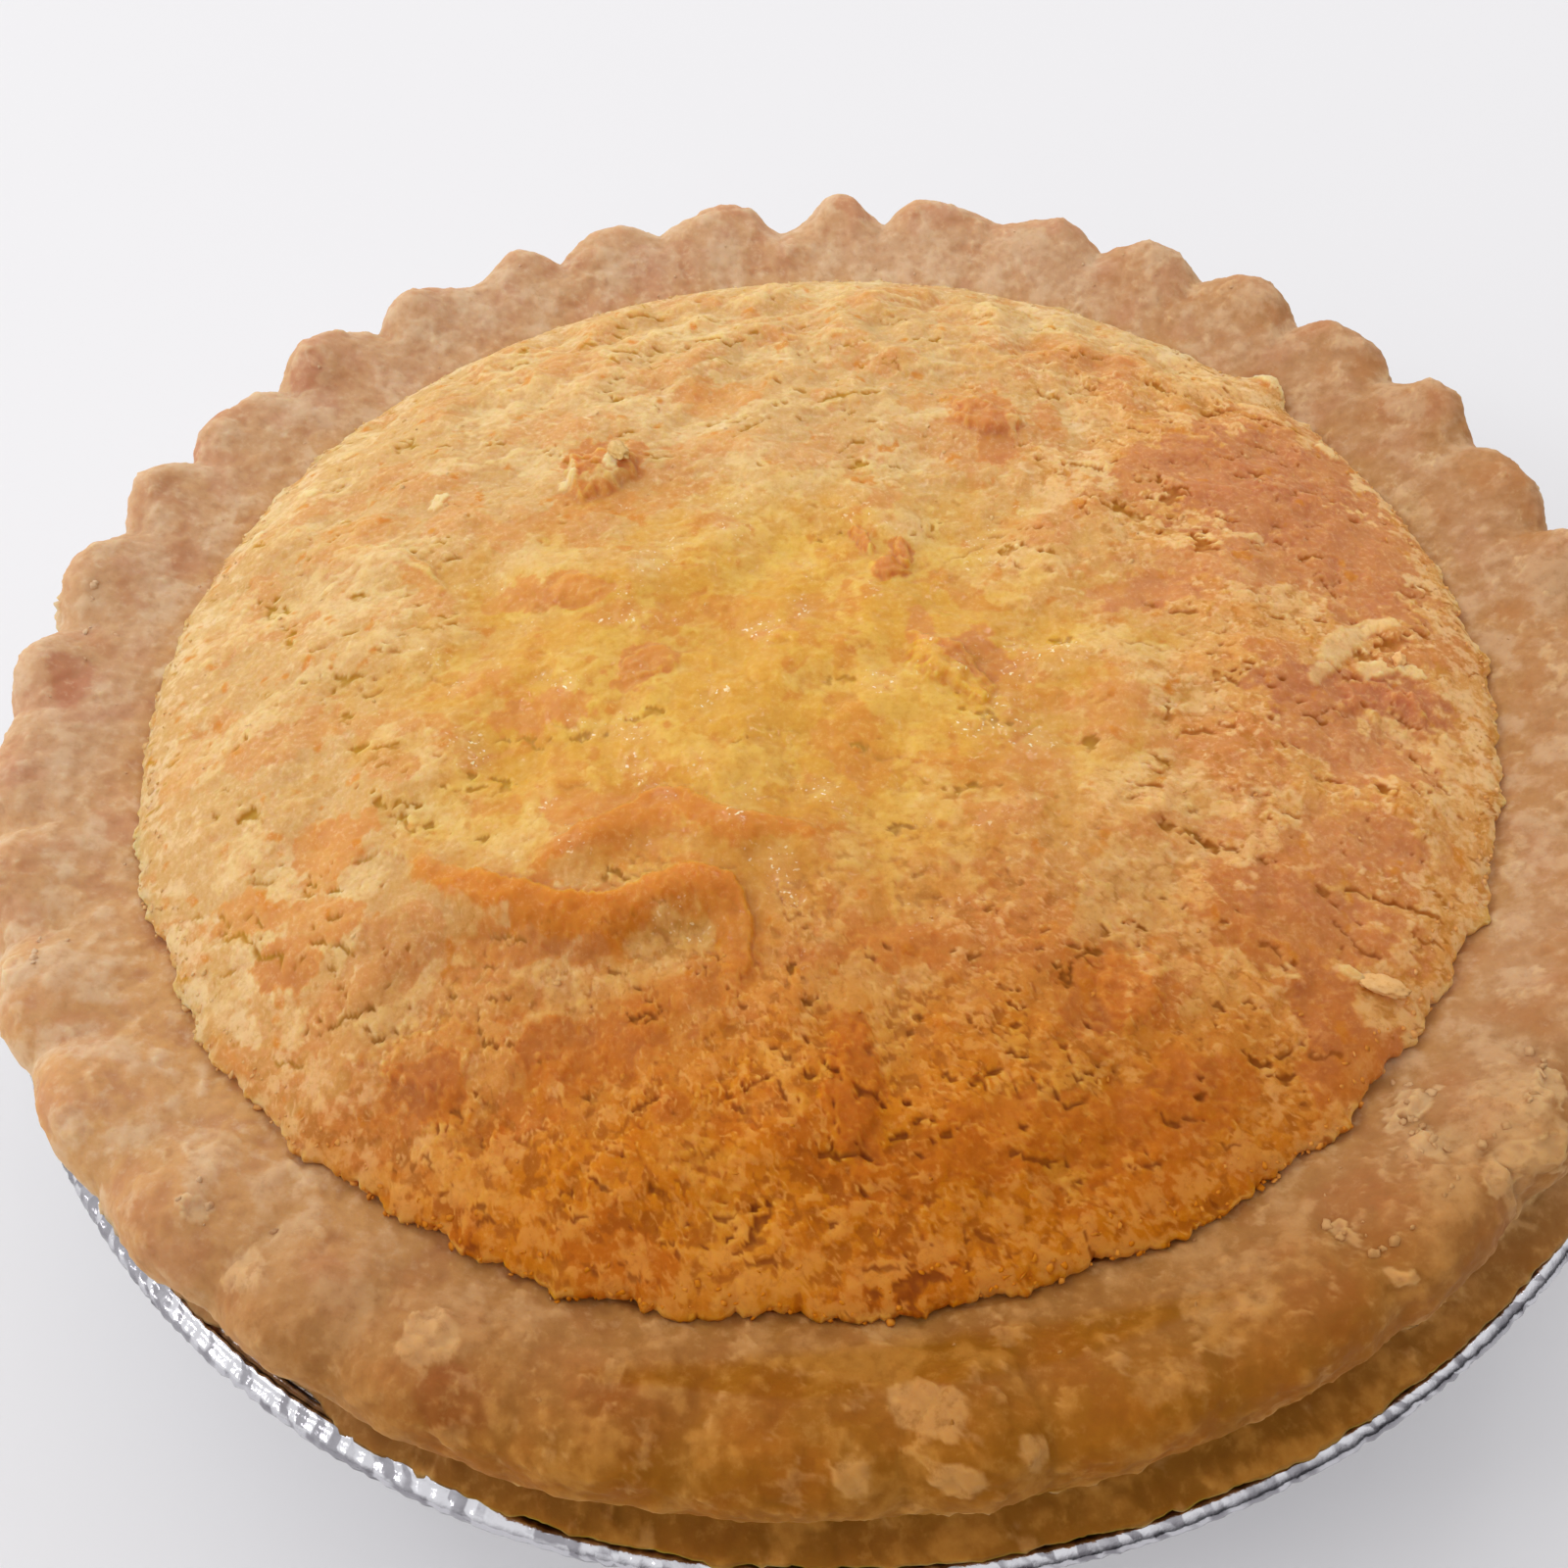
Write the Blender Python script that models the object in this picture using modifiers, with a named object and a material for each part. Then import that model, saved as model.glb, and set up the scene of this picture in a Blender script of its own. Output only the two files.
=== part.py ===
# Coconut custard tart in its own foil tin.
#
# A domed, browned custard filling full of coconut shreds sits in a shortcrust case, whose
# fluted roll stands on the flange of a thin foil tart tin. Metres, +Z up. The origin is on
# the table, under the middle of the tin. -Y is the side that faces the viewer.

import math
import random

import bmesh
import bpy
from mathutils import Vector, noise

MM = 0.001
GAP = 0.3 * MM  # between pieces that touch
WELD = 0.001 * MM

# Foil tin: a five-inch tart tin
RIM_RADIUS = 63.0 * MM  # outer edge of the rolled rim
RIM_HEIGHT = 27.0 * MM  # middle of the rolled rim above the table
BEAD = 0.8 * MM  # radius of the roll
MOUTH_RADIUS = 56.6 * MM  # inner wall at the flange
BASE_RADIUS = 44.0 * MM  # inner wall carried down to the table
FOIL = 0.5 * MM
FLANGE_DROP = 0.1 * MM  # flange top below the middle of the roll
BASE_CORNER = 3.0 * MM
TIN_STEPS = 60

# Shortcrust case
WALL = 4.3 * MM
FLOOR = 4.0 * MM
ROLL = [  # radius, and height above the middle of the tin's rim, in millimetres
    (49.3, 4.5),  # lip under the filling's edge
    (52.0, 6.1),
    (55.0, 7.6),
    (57.8, 8.5),  # top
    (59.6, 7.9),
    (60.5, 6.2),  # outermost
    (60.2, 4.2),
    (59.0, 2.1),  # tucked under, on the ledge
]
LEDGE_RISE = 1.6 * MM  # top of the ledge of dough on the flange
LEDGE_LAP = 0.4 * MM  # how far it laps over the rolled rim
FLUTES = 36
STEPS_PER_FLUTE = 4
FLUTE_RISE = 1.15 * MM
FLUTE_PUSH = 0.45 * MM
FLUTE_PHASE = math.radians(7)
FLUTE_WANDER = math.radians(1.9)
WANDER_AT = math.radians(110)
FLUTE_SHARPNESS = 0.8  # under 1 gives round tops and narrow notches
FLUTE_ZONE = (52.0 * MM, 57.5 * MM)  # radii between which the crimping sets in
FLUTE_HEIGHTS = (RIM_HEIGHT + 2.2 * MM, RIM_HEIGHT + 5.0 * MM)
FRONT_CRISPNESS = 0.44  # depth of the front's flutes as a share of the back's
PILLOW_RISE = 0.5 * MM  # slow unevenness of the roll
PILLOW_COUNT = 4.5
LEAN = -1.5 * MM  # the roll and the filling sit a little off centre, towards -X
LEAN_FROM = RIM_HEIGHT + 1.9 * MM
LEAN_TO = RIM_HEIGHT + 4.2 * MM

# Custard filling
FILLING_RADIUS = 50.0 * MM  # at its crumbly lip
LIP_HEIGHT = RIM_HEIGHT + 6.3 * MM
DOME_RISE = 7.0 * MM  # from the lip to the flat top
DOME_POWER = 3.8  # how flat the top is
FILLING_STEPS = 66
LUMP_SIZE = 9.0 * MM
LUMP_RISE = 0.9 * MM
CRUMB_SIZE = 4.0 * MM
CRUMB_RISE = 0.7 * MM
LIP_WOBBLE = 0.5 * MM
LIP_BITES = 9.0
BREAK_DROP = 1.6 * MM  # the top breaks down in front of the long fold
BREAK_LINE = -25.0 * MM  # where, measured along Y from the dome's centre
BREAK_DEPTH = 4.0 * MM
BREAK_REACH = 20.0 * MM
BREAK_SIDES = (-30.0 * MM, -24.0 * MM, -6.0 * MM, -1.0 * MM)

# Coconut shreds and crags on the filling
SEED = 11
SHREDS = 36
SHRED_LENGTH = (8.0 * MM, 15.0 * MM)
SHRED_WIDTH = (1.5 * MM, 2.1 * MM)
SHRED_THICKNESS = 1.4 * MM
SHRED_LIFT = 0.85 * MM  # top of a shred above the custard
SHRED_ZONE = 43.0 * MM  # furthest that a shred's middle lies from the dome's centre
SHRED_CUTS = 3
SHRED_SPREAD = 24.0  # degrees either side of the X axis
SHRED_BOW = 0.18
SHRED_TAPER = 0.55
GOLDEN_ANGLE = math.pi * (3 - math.sqrt(5))
FOLD_LIFT = 0.6 * MM
FOLD_TIP = 0.6  # share of the full radius at the ends
FOLD_RADIUS = 1.35 * MM
FOLD_ROUTES = {  # raised folds, in millimetres from the dome's centre
    "long_fold": [(-25, -22), (-20, -24.5), (-14, -26.3), (-8.5, -25), (-5, -26), (-4.6, -30)],
    "short_fold": [(-17, -22.5), (-13, -20), (-9.5, -18.3), (-5, -20.6), (-0.5, -21.2)],
    "pale_fold": [(-37, 8.2), (-33.5, 8), (-30, 6), (-27.5, 3)],
}
CRAGS = [  # x, y, length, width and height in millimetres, and turn in degrees
    (-16, 14.8, 7.5, 4.5, 3.2, 10),
    (5.5, 3.6, 5.5, 2.8, 2.8, -50),
    (10, -7.6, 7.5, 3.6, 2.6, -45),
    (15.3, 19.6, 6.0, 4.0, 2.4, -25),
    (-16.6, 1.3, 4.5, 3.0, 1.8, 0),
    (-11.2, -5.9, 4.5, 3.2, 1.8, 20),
    (19.3, -32.5, 6.5, 4.5, 2.4, 60),
    (1.9, -38.5, 7.0, 3.2, 2.0, 85),
    (-23.7, -34.5, 6.5, 5.0, 2.0, 15),
    (40.2, -9.4, 6.5, 4.0, 1.8, -15),
]
CRAG_ROUGHNESS = 0.35
CRAG_GRAIN = 5.0

parts = bpy.data.collections.new("coconut_custard_tart")
joined = bpy.data.collections.new("shreds_and_crags")


def clear_scene():
    for obj in list(bpy.data.objects):
        bpy.data.objects.remove(obj, do_unlink=True)
    bpy.context.scene.collection.children.link(parts)
    bpy.context.scene.collection.children.link(joined)


def smoothstep(low, high, value):
    t = min(max((value - low) / (high - low), 0.0), 1.0)
    return t * t * (3 - 2 * t)


def arc(centre, radius, start, end, points):
    """Points on a circle in the XZ plane, from one angle in degrees to another."""
    turned = []
    for i in range(points):
        angle = math.radians(start + (end - start) * i / (points - 1))
        turned.append((centre[0] + radius * math.cos(angle), centre[1] + radius * math.sin(angle)))
    return turned


def tin_wall(height):
    """Inner radius of the tin's sloping wall."""
    top = RIM_HEIGHT - FLANGE_DROP
    return BASE_RADIUS + (MOUTH_RADIUS - BASE_RADIUS) * height / top


def base_corner(offset, start, end, points):
    """The rounded foot of the wall, moved out by offset."""
    height = FOIL + BASE_CORNER
    centre = (tin_wall(height) - BASE_CORNER, height)
    return arc(centre, BASE_CORNER + offset, start, end, points)


def add_material(obj, colour, roughness, metallic):
    material = bpy.data.materials.new(obj.name)
    material.use_nodes = True
    shader = material.node_tree.nodes["Principled BSDF"]
    shader.inputs["Base Color"].default_value = (*colour, 1.0)
    shader.inputs["Roughness"].default_value = roughness
    shader.inputs["Metallic"].default_value = metallic
    obj.data.materials.clear()
    obj.data.materials.append(material)


def apply_modifiers(obj):
    graph = bpy.context.evaluated_depsgraph_get()
    mesh = bpy.data.meshes.new_from_object(obj.evaluated_get(graph))
    obj.modifiers.clear()
    obj.data = mesh


def triangulate(bm):
    bmesh.ops.triangulate(bm, faces=bm.faces[:], quad_method="BEAUTY", ngon_method="BEAUTY")


def turn_profile(name, profile, steps):
    """Turn a profile about Z. It runs from the axis over the top and down the outer side."""
    mesh = bpy.data.meshes.new(name)
    edges = [(i, i + 1) for i in range(len(profile) - 1)]
    mesh.from_pydata([(x, 0.0, z) for x, z in profile], edges, [])
    obj = bpy.data.objects.new(name, mesh)
    parts.objects.link(obj)
    screw = obj.modifiers.new("Turn", "SCREW")
    screw.steps = steps
    screw.render_steps = steps
    screw.use_merge_vertices = True
    screw.merge_threshold = WELD
    apply_modifiers(obj)
    return obj


def reshape(obj, rule):
    for vertex in obj.data.vertices:
        vertex.co = rule(vertex.co.copy())
    obj.data.update()


def lean(height):
    """Sideways shift of the case and the filling: none in the tin, full above the flange."""
    return LEAN * smoothstep(LEAN_FROM, LEAN_TO, height)


def make_foil_tin():
    flange_top = RIM_HEIGHT - FLANGE_DROP
    flange_under = flange_top - FOIL
    bead_centre = (RIM_RADIUS - BEAD, RIM_HEIGHT)
    profile = [(0.0, FOIL)]
    profile += base_corner(0.0, -90, -10, 3)
    profile += [(tin_wall(flange_top - BEAD), flange_top - BEAD)]
    profile += [(MOUTH_RADIUS + BEAD, flange_top)]
    profile += arc(bead_centre, BEAD, 180, -120, 7)
    profile += [(MOUTH_RADIUS + BEAD + FOIL, flange_under)]
    profile += [(tin_wall(flange_under - BEAD) + FOIL, flange_under - BEAD)]
    profile += base_corner(FOIL, -10, -90, 3)
    profile += [(0.0, 0.0)]
    obj = turn_profile("foil_tin", profile, TIN_STEPS)
    add_material(obj, (0.74, 0.74, 0.75), 0.28, 1.0)
    return obj


def flute(angle):
    """The crimping round the edge, from -1 in a notch to 1 on a peak, wandering by a degree or two."""
    wander = FLUTE_WANDER * math.sin(angle - WANDER_AT)
    phase = FLUTES * (angle - FLUTE_PHASE - wander)
    return 2 * abs(math.cos(phase / 2)) ** FLUTE_SHARPNESS - 1


def crimp(point):
    """Lift and push the roll by the flutes: crisp at the back, soft and pillowy at the front."""
    angle = math.atan2(point.y, point.x)
    radius = math.hypot(point.x, point.y)
    share = smoothstep(*FLUTE_ZONE, radius) * smoothstep(*FLUTE_HEIGHTS, point.z)
    crispness = FRONT_CRISPNESS + (1 - FRONT_CRISPNESS) * (1 + math.sin(angle)) / 2
    pillow = noise.noise(Vector((math.cos(angle), math.sin(angle), 0.4)) * PILLOW_COUNT)
    height = share * (FLUTE_RISE * crispness * flute(angle) + PILLOW_RISE * pillow)
    radius += share * FLUTE_PUSH * crispness * flute(angle)
    x = radius * math.cos(angle) + lean(point.z)
    return Vector((x, radius * math.sin(angle), point.z + height))


def case_cavity(offset):
    """The inside of the case from its floor to its lip, moved inwards by offset."""
    floor = FOIL + GAP + FLOOR + offset
    inset = GAP + WALL + offset
    return [(0.0, floor), (tin_wall(floor) - inset, floor), (tin_wall(RIM_HEIGHT) - inset, RIM_HEIGHT)]


def make_crust():
    ledge = RIM_HEIGHT + LEDGE_RISE
    flange_rest = RIM_HEIGHT - FLANGE_DROP + GAP
    bead_side = RIM_RADIUS - 2 * BEAD - GAP
    ledge_edge = bead_side + LEDGE_LAP
    profile = case_cavity(0.0)
    profile += [(x * MM, RIM_HEIGHT + z * MM) for x, z in ROLL]
    profile += [(ledge_edge - 1.5 * MM, ledge), (ledge_edge, ledge - 0.4 * MM), (bead_side, flange_rest)]
    profile += [(MOUTH_RADIUS + BEAD, flange_rest)]
    profile += [(tin_wall(flange_rest - BEAD) - GAP, flange_rest - BEAD)]
    profile += base_corner(-GAP, -10, -90, 2)
    profile += [(0.0, FOIL + GAP)]
    obj = turn_profile("crust", profile, FLUTES * STEPS_PER_FLUTE)
    reshape(obj, crimp)
    add_material(obj, (0.58, 0.36, 0.20), 0.75, 0.0)
    return obj


def dome_height(radius):
    """Height of the smooth dome above the table, at a radius from its own centre."""
    return LIP_HEIGHT + DOME_RISE * (1 - min(radius / FILLING_RADIUS, 1.0) ** DOME_POWER)


def break_drop(x, y):
    """How far the top has sunk in front of the long fold."""
    left, full_left, full_right, right = BREAK_SIDES
    across = smoothstep(left, full_left, x) * (1 - smoothstep(full_right, right, x))
    depth = BREAK_LINE - y
    fade = 1 - smoothstep(BREAK_REACH / 2, BREAK_REACH, depth)
    return BREAK_DROP * across * smoothstep(0.0, BREAK_DEPTH, depth) * fade


def filling_top(x, y):
    """Height of the baked top, lumps and all, at a place measured from the dome's centre."""
    radius = math.hypot(x, y)
    place = Vector((x, y, 0.0))
    lumps = LUMP_RISE * noise.noise(place / LUMP_SIZE)
    crumbs = CRUMB_RISE * noise.noise(place / CRUMB_SIZE + Vector((7.3, 1.9, 4.1)))
    calm = 1 - smoothstep(0.86 * FILLING_RADIUS, 0.98 * FILLING_RADIUS, radius)
    return dome_height(radius) + (lumps + crumbs) * calm - break_drop(x, y)


def bake(point):
    """Raise the lumps on the dome, break up the lip and lean the filling with its case."""
    radius = math.hypot(point.x, point.y)
    if point.z > LIP_HEIGHT - 0.1 * MM and radius > FILLING_RADIUS * 0.93:
        angle = math.atan2(point.y, point.x)
        wobble = noise.noise(Vector((math.cos(angle), math.sin(angle), 0.0)) * LIP_BITES)
        point.x += LIP_WOBBLE * wobble * math.cos(angle)
        point.y += LIP_WOBBLE * wobble * math.sin(angle)
    elif point.z > LIP_HEIGHT:
        point.z = filling_top(point.x, point.y)
    point.x += lean(point.z)
    return point


def make_filling_body():
    profile = [(0.0, dome_height(0.0))]
    for radius in (5, 10, 15, 20, 25, 29.5, 34, 38, 42, 45.5):
        profile += [(radius * MM, dome_height(radius * MM))]
    profile += [(FILLING_RADIUS - 1.2 * MM, LIP_HEIGHT + 0.5 * MM)]
    profile += [(FILLING_RADIUS, LIP_HEIGHT)]
    profile += [(FILLING_RADIUS, LIP_HEIGHT - 0.7 * MM)]
    profile += [(FILLING_RADIUS - 1.0 * MM, RIM_HEIGHT + 4.6 * MM)]
    profile += reversed(case_cavity(GAP))
    obj = turn_profile("filling", profile, FILLING_STEPS)
    reshape(obj, bake)
    return obj


def add_to_joined(name, bm):
    triangulate(bm)
    mesh = bpy.data.meshes.new(name)
    bm.to_mesh(mesh)
    bm.free()
    obj = bpy.data.objects.new(name, mesh)
    joined.objects.link(obj)
    return obj


def make_shred(index, draw):
    """One coconut shred: a thin bowed strip that lies half sunk in the custard."""
    reach = SHRED_ZONE * math.sqrt((index + 0.5) / SHREDS)
    bearing = index * GOLDEN_ANGLE
    middle = (reach * math.cos(bearing), reach * math.sin(bearing))
    length = draw.uniform(*SHRED_LENGTH)
    width = draw.uniform(*SHRED_WIDTH)
    turn = math.radians(draw.gauss(0, SHRED_SPREAD))
    bow = draw.uniform(-SHRED_BOW, SHRED_BOW)
    room = 2 * (FILLING_RADIUS - 3.0 * MM - reach)
    length = min(length, max(room, SHRED_LENGTH[0] * 0.7))
    bm = bmesh.new()
    bmesh.ops.create_grid(bm, x_segments=SHRED_CUTS, y_segments=1, size=0.5)
    for vertex in bm.verts:
        along = vertex.co.x
        taper = 1 - SHRED_TAPER * (2 * abs(along)) ** 3
        u = along * length
        v = vertex.co.y * width * taper + bow * length * (4 * along * along - 0.5) / 2
        x = middle[0] + u * math.cos(turn) - v * math.sin(turn)
        y = middle[1] + u * math.sin(turn) + v * math.cos(turn)
        z = filling_top(x, y) + SHRED_LIFT * (1 - 0.5 * (2 * abs(along)) ** 2)
        vertex.co = (x + LEAN, y, z)
    obj = add_to_joined(f"shred_{index:02d}", bm)
    solidify = obj.modifiers.new("Thickness", "SOLIDIFY")
    solidify.thickness = SHRED_THICKNESS
    solidify.offset = -1.0
    obj.modifiers.new("Triangles", "TRIANGULATE")


def make_crag(index, crag):
    """One craggy flake: a rough lump sunk to its middle."""
    x, y, length, width, height, turn = crag
    bm = bmesh.new()
    bmesh.ops.create_icosphere(bm, subdivisions=2, radius=0.5)
    angle = math.radians(turn)
    for vertex in bm.verts:
        rough = 1 + CRAG_ROUGHNESS * noise.noise(vertex.co * CRAG_GRAIN + Vector((index, 0.0, 0.0)))
        u = vertex.co.x * length * MM * rough
        v = vertex.co.y * width * MM * rough
        px = x * MM + u * math.cos(angle) - v * math.sin(angle)
        py = y * MM + u * math.sin(angle) + v * math.cos(angle)
        vertex.co = (px + LEAN, py, filling_top(px, py) + vertex.co.z * height * MM * rough)
    add_to_joined(f"crag_{index:02d}", bm)


def make_fold(name, route):
    """A raised fold of custard and shreds, as a tube along its route, sunk to its middle."""
    curve = bpy.data.curves.new(name, "CURVE")
    curve.dimensions = "3D"
    curve.bevel_depth = FOLD_RADIUS
    curve.bevel_resolution = 1
    curve.resolution_u = 3
    curve.use_fill_caps = True
    spline = curve.splines.new("NURBS")
    spline.points.add(len(route) - 1)
    spline.order_u = 3
    spline.use_endpoint_u = True
    for number, (x, y) in enumerate(route):
        ending = number in (0, len(route) - 1)
        height = filling_top(x * MM, y * MM) + (0.0 if ending else FOLD_LIFT)
        spline.points[number].co = (x * MM + LEAN, y * MM, height, 1.0)
        spline.points[number].radius = FOLD_TIP if ending else 1.0
    tube = bpy.data.objects.new(name, curve)
    joined.objects.link(tube)
    graph = bpy.context.evaluated_depsgraph_get()
    mesh = bpy.data.meshes.new_from_object(tube.evaluated_get(graph))
    bm = bmesh.new()
    bm.from_mesh(mesh)
    bmesh.ops.remove_doubles(bm, verts=bm.verts, dist=WELD)
    solid = add_to_joined(name + "_solid", bm)
    solid.matrix_world = tube.matrix_world
    bpy.data.objects.remove(tube, do_unlink=True)


def keep_outer_skin(obj):
    """Drop loose scraps and the walls of sealed pockets: the largest island of faces stays."""
    bm = bmesh.new()
    bm.from_mesh(obj.data)
    triangulate(bm)
    unseen = set(bm.verts)
    islands = []
    while unseen:
        edge_of_search = [unseen.pop()]
        island = []
        while edge_of_search:
            vertex = edge_of_search.pop()
            island.append(vertex)
            for edge in vertex.link_edges:
                other = edge.other_vert(vertex)
                if other in unseen:
                    unseen.remove(other)
                    edge_of_search.append(other)
        islands.append(island)
    islands.sort(key=len)
    for island in islands[:-1]:
        bmesh.ops.delete(bm, geom=island, context="VERTS")
    bm.to_mesh(obj.data)
    bm.free()


def make_filling():
    """The custard with its shreds, crags and folds fused on by one union."""
    obj = make_filling_body()
    draw = random.Random(SEED)
    for index in range(SHREDS):
        make_shred(index, draw)
    for index, crag in enumerate(CRAGS):
        make_crag(index, crag)
    for name, route in FOLD_ROUTES.items():
        make_fold(name, route)
    obj.modifiers.new("Triangles", "TRIANGULATE")
    union = obj.modifiers.new("Fuse", "BOOLEAN")
    union.operation = "UNION"
    union.operand_type = "COLLECTION"
    union.collection = joined
    union.solver = "EXACT"
    apply_modifiers(obj)
    keep_outer_skin(obj)
    for extra in list(joined.objects):
        bpy.data.objects.remove(extra, do_unlink=True)
    bpy.data.collections.remove(joined)
    add_material(obj, (0.72, 0.43, 0.14), 0.6, 0.0)
    return obj


def main():
    clear_scene()
    for obj in (make_foil_tin(), make_crust(), make_filling()):
        obj.data.shade_smooth()
        obj.data.set_sharp_from_angle(angle=math.radians(40))


main()
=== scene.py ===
import itertools
import math

import bmesh
import bpy
import numpy as np
from mathutils import Matrix, Vector, noise


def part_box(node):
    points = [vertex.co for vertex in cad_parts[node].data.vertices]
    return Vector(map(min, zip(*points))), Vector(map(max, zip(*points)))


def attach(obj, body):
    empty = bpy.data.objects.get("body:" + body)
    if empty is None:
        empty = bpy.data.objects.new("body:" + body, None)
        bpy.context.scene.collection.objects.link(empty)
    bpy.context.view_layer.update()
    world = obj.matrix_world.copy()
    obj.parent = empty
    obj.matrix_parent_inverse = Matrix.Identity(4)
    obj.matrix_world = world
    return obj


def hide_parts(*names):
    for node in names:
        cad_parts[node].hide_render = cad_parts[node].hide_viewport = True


# Coconut custard tart: the looks of the foil tin, the pastry case and the baked custard.
# Lengths are in millimetres until a mesh is made. -Y is the side that faces the camera.

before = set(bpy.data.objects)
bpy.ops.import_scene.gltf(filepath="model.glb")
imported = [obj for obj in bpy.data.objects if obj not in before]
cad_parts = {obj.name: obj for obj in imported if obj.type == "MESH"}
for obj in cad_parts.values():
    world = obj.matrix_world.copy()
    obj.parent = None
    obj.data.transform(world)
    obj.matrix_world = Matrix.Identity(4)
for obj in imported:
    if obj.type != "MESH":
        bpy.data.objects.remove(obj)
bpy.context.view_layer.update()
mm = 0.001
goldenAngle = math.pi * (3 - math.sqrt(5))

form = {  # what the frame's solids measure, and what the looks have to follow
    "rimHeight": 27.0,
    "flangeHeight": 26.9,
    "rimRadius": 62.94,
    "bead": 0.8,
    "foil": 0.5,
    "gap": 0.3,
    "mouthRadius": 56.6,
    "baseRadius": 44.0,
    "baseCorner": 3.0,
    "wall": 4.3,
    "floor": 4.0,
    "lean": -1.5,
    "leanFrom": 28.9,
    "leanTo": 31.2,
    "lipRadius": 50.0,
    "lipHeight": 33.3,
    "domeRise": 7.0,
    "domePower": 3.8,
    "top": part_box("filling")[1].z / mm,
}


def smooth(low, high, value):  # 0 below low, 1 above high
    share = np.clip((value - low) / (high - low), 0.0, 1.0)
    return share * share * (3.0 - 2.0 * share)


def waves(places, seed):  # smooth noise from about -1 to 1, in two or three dimensions, one cell a unit
    draw = np.random.RandomState(seed)
    shuffled = draw.permutation(256)
    slopes = draw.normal(size=(256, places.shape[1]))
    slopes /= np.linalg.norm(slopes, axis=1)[:, None]
    cell = np.floor(places).astype(int)
    inside = places - cell
    fade = inside ** 3 * (inside * (inside * 6 - 15) + 10)
    total = np.zeros(len(places))
    for corner in itertools.product((0, 1), repeat=places.shape[1]):
        pick = 0
        weight = 1.0
        for axis, step in enumerate(corner):
            pick = shuffled[(pick + cell[:, axis] + step) & 255]
            weight = weight * (fade[:, axis] if step else 1 - fade[:, axis])
        total += weight * ((inside - np.array(corner)) * slopes[pick]).sum(axis=1)
    return total * 1.5


def cloud(places, size, seed, octaves=3, rough=0.5):  # waves on waves
    total = 0.0
    most = 0.0
    for octave in range(octaves):
        share = rough ** octave
        total = total + share * waves(places * (2 ** octave / size) + 7.7 * octave, seed + octave)
        most += share
    return total / most


def grains(places, seed, scatter=0.85):  # distance to the nearest and next of points strewn one a cell
    draw = np.random.RandomState(seed)
    shuffled = draw.permutation(256)
    offsets = draw.uniform(-0.5, 0.5, (256, places.shape[1])) * scatter
    numbers = draw.uniform(0.0, 1.0, 256)
    cell = np.floor(places).astype(int)
    nearest = np.full(len(places), 9.0)
    following = np.full(len(places), 9.0)
    own = np.zeros(len(places))  # a number that each point keeps
    for step in itertools.product((-1, 0, 1), repeat=places.shape[1]):
        pick = 0
        for axis, move in enumerate(step):
            pick = shuffled[(pick + cell[:, axis] + move) & 255]
        away = np.linalg.norm(cell + np.array(step) + 0.5 + offsets[pick] - places, axis=1)
        closer = away < nearest
        following = np.where(closer, nearest, np.minimum(following, away))
        own = np.where(closer, numbers[pick], own)
        nearest = np.where(closer, away, nearest)
    return nearest, following, own


def tint(red, green, blue):  # a screen colour, as the light value that Blender works with
    channels = []
    for value in (red, green, blue):
        share = value / 255
        channels.append(share / 12.92 if share <= 0.04045 else ((share + 0.055) / 1.055) ** 2.4)
    return (*channels, 1.0)


class Wire:  # a socket in a shader tree; arithmetic on it adds Math nodes
    def __init__(self, tree, socket=None):
        self.tree = tree
        self.socket = socket

    def node(self, kind, settings=None, sockets=None, out=0):
        made = self.tree.nodes.new(kind)
        for key, value in (settings or {}).items():
            if key == "stops":
                while len(made.color_ramp.elements) < len(value):
                    made.color_ramp.elements.new(1.0)
                for element, (position, colour) in zip(made.color_ramp.elements, value):
                    element.position = position
                    element.color = colour
            else:
                setattr(made, key, value)
        for key, value in (sockets or {}).items():
            if isinstance(value, Wire):
                self.tree.links.new(value.socket, made.inputs[key])
            else:
                made.inputs[key].default_value = value
        return Wire(self.tree, made.outputs[out])

    def maths(self, operation, first, second=0.0):
        return self.node("ShaderNodeMath", {"operation": operation}, {0: first, 1: second})

    def __add__(self, other):
        return self.maths("ADD", self, other)

    __radd__ = __add__

    def __mul__(self, other):
        return self.maths("MULTIPLY", self, other)

    __rmul__ = __mul__

    def __sub__(self, other):
        return self.maths("SUBTRACT", self, other)

    def __rsub__(self, other):
        return self.maths("SUBTRACT", other, self)

    def clamped(self):
        return self.node("ShaderNodeClamp", {}, {0: self})

    def between(self, low, high):  # 0 to 1 as this value runs from low to high
        ends = {"Value": self, "From Min": low, "From Max": high}
        return self.node("ShaderNodeMapRange", {"interpolation_type": "SMOOTHSTEP"}, ends)

    def colour(self, shade):
        made = self.node("ShaderNodeRGB")
        made.socket.default_value = shade
        return made

    def mask(self, name):
        return self.node("ShaderNodeAttribute", {"attribute_name": name}, out="Fac")

    def grain(self, place, size, detail=3.0, rough=0.6):  # noise whose features are size millimetres across
        sockets = {"Vector": place, "Scale": 1 / (size * mm), "Detail": detail, "Roughness": rough}
        return self.node("ShaderNodeTexNoise", {}, sockets, out="Fac")

    def blend(self, share, other, how="MIX"):  # colours
        settings = {"data_type": "RGBA", "blend_type": how}
        return self.node("ShaderNodeMix", settings, {0: share, 6: self, 7: other}, out=2)


def startFinish(name, constants):  # a material, its wire and its shader with its constant values
    material = bpy.data.materials.new(name)
    material.use_nodes = True
    shader = material.node_tree.nodes["Principled BSDF"]
    for socket, value in constants.items():
        shader.inputs[socket].default_value = value
    return material, Wire(material.node_tree), shader


def feed(shader, socket, wire):
    wire.tree.links.new(wire.socket, shader.inputs[socket])


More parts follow.
